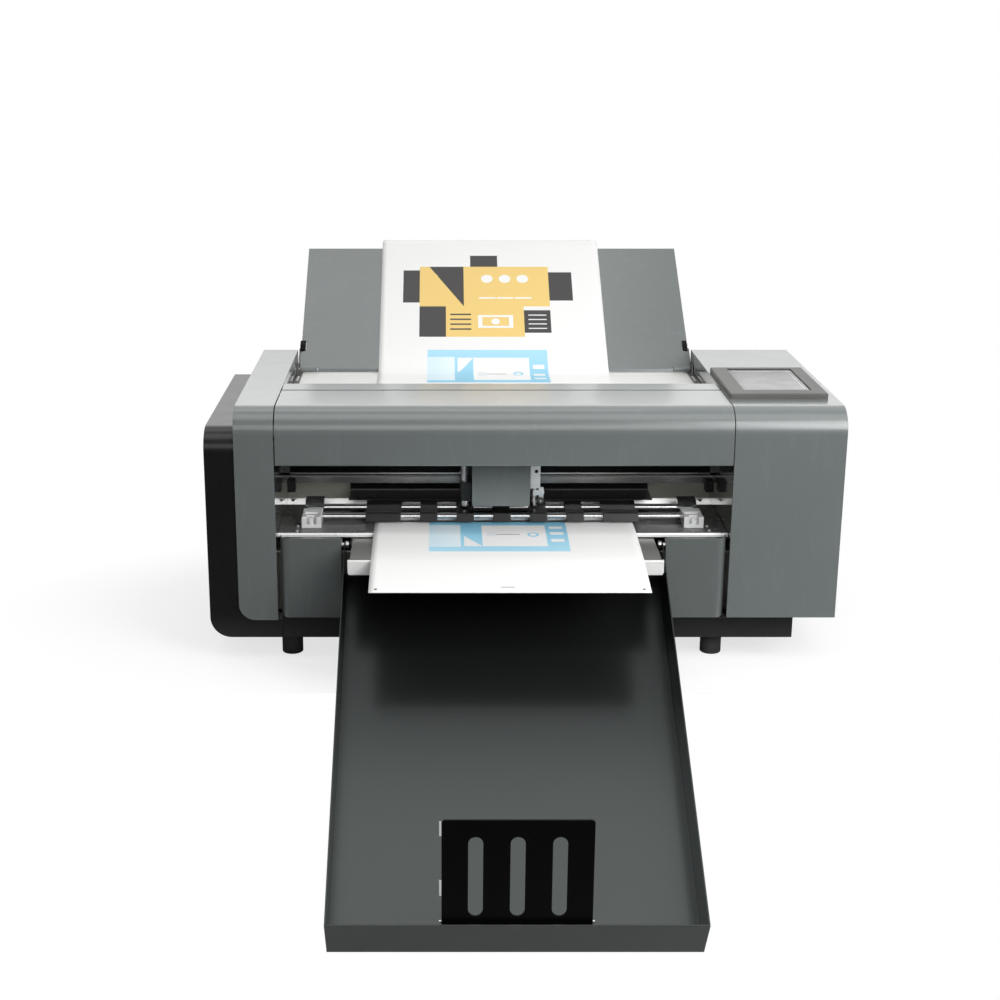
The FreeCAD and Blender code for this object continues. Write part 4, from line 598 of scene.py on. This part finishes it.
def turned_corner(before, corner, after, radius):
    """Points of the arc that turns the corner."""
    back = (Vector(before[:2]) - corner).normalized()
    on = (Vector(after[:2]) - corner).normalized()
    angle = back.angle(on)
    reach = radius / math.tan(angle / 2)
    middle = corner + (back + on).normalized() * (radius / math.sin(angle / 2))
    first = corner + back * reach - middle
    turn = math.pi - angle
    side = 1 if first.cross(corner + on * reach - middle) > 0 else -1
    count = max(4, int(radius * turn / BEND_STEP))
    arc = []
    for k in range(count + 1):
        a = side * turn * k / count
        arc.append(middle + Vector((first.x * math.cos(a) - first.y * math.sin(a),
                                    first.x * math.sin(a) + first.y * math.cos(a))))
    return arc


def rounded(points):
    """Points (y, z, bend radius) to a smooth run of (y, z), each corner turned on its own radius."""
    line = [Vector(points[0][:2])]
    for before, here, after in zip(points, points[1:], points[2:]):
        line.extend(turned_corner(before, Vector(here[:2]), after, here[2]))
    line.append(Vector(points[-1][:2]))
    run = [line[0]]
    for here, there in zip(line, line[1:]):
        pieces = max(1, int((there - here).length / RUN_STEP))
        for k in range(1, pieces + 1):
            run.append(here.lerp(there, k / pieces))
    return run


def lengths_along(run):
    lengths = [0.0]
    for here, there in zip(run, run[1:]):
        lengths.append(lengths[-1] + (there - here).length)
    return lengths


def card_mesh(name, run, lengths, middle):
    """Two faces a thickness apart, closed round the rim, that share one set of print coordinates."""
    rows = len(run)
    layer = rows * (CARD_COLUMNS + 1)
    verts = []
    prints = []
    for lift in (0.0, CARD_THICKNESS):
        for k, point in enumerate(run):
            way = (run[min(k + 1, rows - 1)] - run[max(k - 1, 0)]).normalized()
            up = Vector((-way.y, way.x)) * (1 if way.x > 0 else -1)
            at = point + up * lift
            for c in range(CARD_COLUMNS + 1):
                across = (c / CARD_COLUMNS - 0.5) * CARD_WIDTH
                verts.append((middle + across, at.x, at.y))
                prints.append((c / CARD_COLUMNS, lengths[k] / lengths[-1]))

    def index(side, row, column):
        return side * layer + row * (CARD_COLUMNS + 1) + column

    faces = []
    for r in range(rows - 1):
        for c in range(CARD_COLUMNS):
            quad = [index(0, r, c), index(0, r, c + 1), index(0, r + 1, c + 1), index(0, r + 1, c)]
            faces.append(quad[::-1])
            faces.append([i + layer for i in quad])
    broad_faces = len(faces)
    for r in range(rows - 1):
        for c, flip in ((0, 1), (CARD_COLUMNS, -1)):
            faces.append([index(0, r, c), index(1, r, c), index(1, r + 1, c), index(0, r + 1, c)][::flip])
    for c in range(CARD_COLUMNS):
        for r, flip in ((0, -1), (rows - 1, 1)):
            faces.append([index(0, r, c), index(1, r, c), index(1, r, c + 1), index(0, r, c + 1)][::flip])
    mesh = bpy.data.meshes.new(name)
    mesh.from_pydata(verts, [], faces)
    uv = mesh.uv_layers.new(name="UVMap")
    for loop in mesh.loops:
        uv.data[loop.index].uv = prints[loop.vertex_index]
    for face in mesh.polygons:
        face.use_smooth = face.index < broad_faces
    mesh.validate()
    mesh.update()
    return mesh


def card_sheet(name, path, middle, printed):
    """A sheet that follows path in Y and Z, centred on middle in X."""
    run = rounded(path)
    lengths = lengths_along(run)
    return placed(name, card_mesh(name, run, lengths, middle), printed(lengths[-1]))


# Prints: generic carton layouts in millimetres, u across the sheet from its middle and v along it

AMBER = (0.87, 0.62, 0.20)
CHARCOAL = (0.045, 0.042, 0.042)
SILVER = (0.78, 0.80, 0.82)
INK_BLACK = (0.03, 0.03, 0.035)
INK_GREY = (0.4, 0.4, 0.4)
PAPER = (0.90, 0.90, 0.89)
BLUES = ((0.20, 0.56, 0.78), (0.42, 0.74, 0.90))
PALE_BLUES = ((0.66, 0.84, 0.93), (0.80, 0.91, 0.96))
BLANK_U = -8
BLANK_STRETCH = 1.72
MARK_U = 152
MARK_FROM_END = 8
MARK_RADIUS = 1.8


class Print(Finish):
    """Card with printed shapes."""

    def __init__(self, name, length):
        super().__init__(name)
        self.end = length * 1000.0
        split = self.add("ShaderNodeSeparateXYZ")
        self.feed(split.inputs[0], self.coords.outputs["UV"])
        self.u = self.calc("MULTIPLY", self.calc("SUBTRACT", split.outputs[0], 0.5), CARD_WIDTH * 1000.0)
        self.v = self.calc("MULTIPLY", split.outputs[1], self.end)
        point = self.add("ShaderNodeCombineXYZ")
        self.feed(point.inputs[0], self.u)
        self.feed(point.inputs[1], self.v)
        self.point = point.outputs[0]
        self.fibre = self.noise(900.0, 3.0)
        self.tone = self.mix(self.fibre, (0.86, 0.86, 0.85), (0.92, 0.92, 0.91))
        self.inked = None

    def rect(self, u0, u1, v0, v1):
        return self.calc("MULTIPLY", self.near(self.u, (u0 + u1) / 2, (u1 - u0) / 2),
                         self.near(self.v, (v0 + v1) / 2, (v1 - v0) / 2))

    def disc(self, u, v, radius):
        gap = self.add("ShaderNodeVectorMath", operation="DISTANCE")
        self.feed(gap.inputs[0], self.point)
        gap.inputs[1].default_value = (u, v, 0.0)
        return self.calc("LESS_THAN", gap.outputs["Value"], radius)

    def below(self, u0, v0, u1, v1):
        """The side of the line from (u0, v0) to (u1, v1) that lies to its right."""
        a = self.calc("MULTIPLY", self.calc("SUBTRACT", self.u, u0), v1 - v0)
        b = self.calc("MULTIPLY", self.calc("SUBTRACT", self.v, v0), u1 - u0)
        return self.calc("GREATER_THAN", a, b)

    def ink(self, mask, colour):
        self.tone = self.mix(mask, self.tone, colour)
        self.inked = mask if self.inked is None else self.calc("MAXIMUM", self.inked, mask)

    def corner_marks(self):
        for u in (-MARK_U, MARK_U):
            self.ink(self.disc(u, self.end - MARK_FROM_END, MARK_RADIUS), CHARCOAL)

    def done(self):
        """Ink lies smoother than the bare card."""
        self.set(colour=self.tone, rough=self.calc("SUBTRACT", self.spread(self.fibre, 0.52, 0.62),
                                                   self.calc("MULTIPLY", self.inked, 0.16)))
        self.relief(self.fibre, 0.00001)
        return self.material


def blue_blank(card, u, v):
    """Carton blank in two blues, printed near the end of each sheet, with its middle at (u, v)."""
    def at(u0, u1, v0, v1):
        return card.rect(u + u0, u + u1, v + v0 * BLANK_STRETCH, v + v1 * BLANK_STRETCH)

    half = 30 * BLANK_STRETCH
    blue = card.mix(card.span(card.v, v - half, v + half), *BLUES)
    card.ink(at(-84, 84, -30, 30), blue)
    card.ink(at(-84, -46, -22, 22), card.mix(card.span(card.u, u - 84, u - 46), *PALE_BLUES))
    card.ink(at(-42, 58, -21, 21), PAPER)
    flap = card.below(u - 42, v + 4, u - 20, v + 21 * BLANK_STRETCH)
    card.ink(card.calc("MULTIPLY", at(-42, -20, -21, 21), flap), blue)
    card.ink(at(-14, 26, -0.8, 0.0), INK_BLACK)
    card.ink(at(-14, -2, -5, 3), SILVER)
    card.ink(card.disc(u + 42, v, 7), blue)
    card.ink(card.disc(u + 42, v, 4), PAPER)
    for k in range(3):
        card.ink(at(63, 79, -18 + 13 * k, -13 + 13 * k), PAPER)
    for k in range(4):
        card.ink(card.disc(u - 72 + 7 * k, v - 8 * BLANK_STRETCH, 1.4), PAPER)


def amber_blank(card):
    """Carton blank in amber and charcoal: body, flaps, slanted fold, three dots, label and lines."""
    card.ink(card.rect(-104, 84, 268, 352), AMBER)
    card.ink(card.rect(-66, 46, 206, 268), AMBER)
    for flap in ((84, 118, 280, 340), (-128, -104, 276, 344), (-30, 10, 352, 376), (46, 84, 214, 260),
                 (-104, -66, 206, 268)):
        card.ink(card.rect(*flap), CHARCOAL)
    fold = card.calc("MULTIPLY", card.rect(-104, -40, 268, 352), card.below(-40, 268, -90, 352))
    card.ink(fold, CHARCOAL)
    for k in range(3):
        card.ink(card.disc(-6 + 26 * k, 326, 8.5), PAPER)
        card.ink(card.rect(-18 + 26 * k, 6 + 26 * k, 284, 287), PAPER)
    card.ink(card.disc(-86, 330, 8.5), AMBER)
    card.ink(card.rect(-20, 30, 224, 250), PAPER)
    card.ink(card.rect(-14, 24, 228, 246), AMBER)
    card.ink(card.disc(5, 237, 6.0), PAPER)
    for k in range(4):
        card.ink(card.rect(-60, -30, 220 + 10 * k, 223 + 10 * k), CHARCOAL)
        card.ink(card.rect(52, 78, 222 + 9 * k, 224 + 9 * k), PAPER)


def feed_print(length):
    card = Print("card_feed", length)
    amber_blank(card)
    blue_blank(card, BLANK_U, 128.4)
    card.corner_marks()
    return card.done()


def exit_print(length):
    card = Print("card_exit", length)
    blue_blank(card, BLANK_U, 69)
    card.corner_marks()
    card.ink(card.rect(-10, 6, card.end - 14, card.end - 12), INK_GREY)
    return card.done()


# Rear sheet: up the chute, across the deck and up the feeder panel, with its free end bent down a little

CARD_GAP = 0.0003
IN_THROAT = 0.109
CHUTE_TOP = 0.15606
PANEL_TOP = 0.2625

feed_path = [chute_point(IN_THROAT, CARD_GAP), (*chute_point(CHUTE_TOP, CARD_GAP), 0.0022),
             (0.15775, 0.2864, 0.050), (*feeder_point(PANEL_TOP, CARD_GAP), 0.038), (0.4298, 0.4357)]
feed_sheet = card_sheet("feed_sheet", feed_path, -0.0025, feed_print)
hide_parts("feed_sheet_lower", "feed_sheet_upper")
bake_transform(feed_sheet)


# Front sheet: over the table and the ramp, ending free above the tray

exit_path = [(-0.106, 0.158), (-0.171, 0.158, 0.060), (-0.247, 0.1513, 0.120), (-0.329, 0.138)]
out_sheet = card_sheet("exit_card", exit_path, 0.002, exit_print)
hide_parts("exit_sheet")
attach(out_sheet, "chassis")


# Pads in the notches of the feeder panel

PAD_OUTLINE = [(0.0350, -0.0016), (0.0350, 0.0006), (0.0375, 0.0022), (0.0420, 0.0022), (0.0430, 0.0034),
               (0.0470, 0.0034), (0.0480, 0.0022), (0.0525, 0.0022), (0.0550, 0.0006), (0.0550, -0.0016)]
PAD_ROUNDING = 0.0005
SHARP_EDGE = 0.2

pad_finish = plastic("pad_black", (0.003, 0.003, 0.003), 0.42)
pad_finish.set(specular=0.12)


def notch_pad(name, x0, x1):
    """A moulded buffer that fills the notch: a block with a raised rib and rounded edges."""
    shape = bmesh.new()
    ends = []
    for x in (x0, x1):
        ends.append([shape.verts.new((x, *feeder_point(along, above))) for along, above in PAD_OUTLINE])
    shape.faces.new(ends[0])
    shape.faces.new(ends[1][::-1])
    for k, here in enumerate(ends[0]):
        after = (k + 1) % len(PAD_OUTLINE)
        shape.faces.new((here, ends[1][k], ends[1][after], ends[0][after]))
    bmesh.ops.recalc_face_normals(shape, faces=shape.faces)
    sharp = [edge for edge in shape.edges if edge.calc_face_angle() > SHARP_EDGE]
    bmesh.ops.bevel(shape, geom=sharp, offset=PAD_ROUNDING, segments=3, affect="EDGES", profile=0.5)
    mesh = bpy.data.meshes.new(name)
    shape.to_mesh(mesh)
    shape.free()
    for face in mesh.polygons:
        face.use_smooth = True
    pad = placed(name, mesh, pad_finish.material)
    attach(pad, "feeder")


notch_pad("notch_pad_left", -0.2738, -0.2660)
notch_pad("notch_pad_right", 0.2648, 0.2713)


# Bench and floor

SHADOW_SHARE = 0.28
SHADOW_MIDDLE = (0.02, 0.0, 0.0)
SHADOW_STRETCH = (0.8, 1.6, 1.0)
SHADOW_FADES, SHADOW_ENDS = 0.40, 0.56


def stage_finish(name):
    """White studio surface; the camera sees it white, with a share of its real shading near the object."""
    f = Finish(name)
    f.set(colour=(0.60, 0.60, 0.60), rough=0.8, specular=0.1)
    lit = f.add("ShaderNodeBsdfDiffuse")
    lit.inputs["Color"].default_value = (0.95, 0.95, 0.945, 1.0)
    white = f.add("ShaderNodeEmission")
    reach = f.add("ShaderNodeVectorMath", operation="DISTANCE")
    f.feed(reach.inputs[0], f.scaled(SHADOW_STRETCH))
    reach.inputs[1].default_value = SHADOW_MIDDLE
    away = f.span(reach.outputs["Value"], SHADOW_FADES, SHADOW_ENDS)
    bench_level = f.calc("GREATER_THAN", f.axis("Z"), -0.001)
    real = f.calc("MULTIPLY", f.calc("MULTIPLY", f.calc("SUBTRACT", 1.0, away), bench_level), SHADOW_SHARE)
    fade = f.add("ShaderNodeMixShader")
    for socket, value in zip(fade.inputs, (real, white.outputs[0], lit.outputs[0])):
        f.feed(socket, value)
    seen = f.add("ShaderNodeLightPath").outputs["Is Camera Ray"]
    pick = f.add("ShaderNodeMixShader")
    for socket, value in zip(pick.inputs, (seen, f.shader.outputs[0], fade.outputs[0])):
        f.feed(socket, value)
    f.feed(f.out.inputs["Surface"], pick.outputs[0])
    return f.material


def slab(name, low, high, material):
    verts = [(x, y, z) for z in (low[2], high[2]) for y in (low[1], high[1]) for x in (low[0], high[0])]
    faces = [(0, 2, 3, 1), (4, 5, 7, 6), (0, 1, 5, 4), (2, 6, 7, 3), (0, 4, 6, 2), (1, 3, 7, 5)]
    mesh = bpy.data.meshes.new(name)
    mesh.from_pydata(verts, [], faces)
    block = placed(name, mesh, material)


slab("bench", (-3.0, -0.29, -0.04), (3.0, 3.0, 0.0), stage_finish("bench_white"))
slab("floor", (-4.0, -1.6, -0.80), (4.0, 4.0, -0.75), stage_finish("floor_white"))


# Light from all round: white to the camera, dim in front of the object and brighter behind and above it

BEHIND_FADE = (-0.25, 0.45)
ABOVE_FADE = (0.1, 0.9)
ABOVE_SHARE = 0.30
LEAST_LIGHT = 0.07
ADDED_LIGHT = 0.72
ADDED_GLOSS = 0.14

world = bpy.data.worlds.new("studio")
world.use_nodes = True
scene.world = world
sky = Graph(world.node_tree)
background = world.node_tree.nodes["Background"]
rays = sky.add("ShaderNodeLightPath").outputs
way = sky.add("ShaderNodeSeparateXYZ")
sky.feed(way.inputs[0], sky.add("ShaderNodeTexCoord").outputs["Generated"])

behind = sky.span(way.outputs["Y"], *BEHIND_FADE, interpolation_type="SMOOTHSTEP")
above = sky.span(way.outputs["Z"], *ABOVE_FADE, interpolation_type="SMOOTHSTEP")
added = sky.calc("MAXIMUM", behind, sky.calc("MULTIPLY", above, ABOVE_SHARE))
diffuse = sky.calc("ADD", LEAST_LIGHT, sky.calc("MULTIPLY", added, ADDED_LIGHT))
gloss = sky.calc("MULTIPLY", sky.calc("MULTIPLY", rays["Is Glossy Ray"], behind), ADDED_GLOSS)
shown = sky.calc("MAXIMUM", rays["Is Camera Ray"], rays["Is Transmission Ray"])
sky.feed(background.inputs["Strength"], sky.calc("MAXIMUM", shown, sky.calc("ADD", diffuse, gloss)))
background.inputs["Color"].default_value = (1.0, 1.0, 1.0, 1.0)


# Lamps: place, target, size and power

def area_light(name, place, target, size, power):
    data = bpy.data.lights.new(name, "AREA")
    data.shape = "RECTANGLE"
    data.size, data.size_y = size
    data.energy = power
    lamp = bpy.data.objects.new(name, data)
    lamp.location = place
    lamp.rotation_euler = (Vector(target) - Vector(place)).to_track_quat("-Z", "Y").to_euler()
    lamp.visible_camera = False
    scene.collection.objects.link(lamp)


area_light("overhead", (0.20, -0.80, 2.2), (0.20, -0.80, 0.2), (2.5, 1.1), 14.0)
area_light("overhead_rear", (-0.35, 0.60, 2.3), (-0.35, 0.60, 0.2), (1.6, 0.7), 3.6)
area_light("key", (1.00, -1.08, 0.98), (0.25, -0.10, 0.2), (1.1, 0.9), 18.5)
area_light("front", (0.45, -2.4, 1.2), (0.0, 0.0, 0.2), (2.6, 0.90), 16.0)
area_light("rear", (-0.2, 2.6, 1.40), (0.0, 0.0, 0.25), (3.2, 1.0), 8.5)
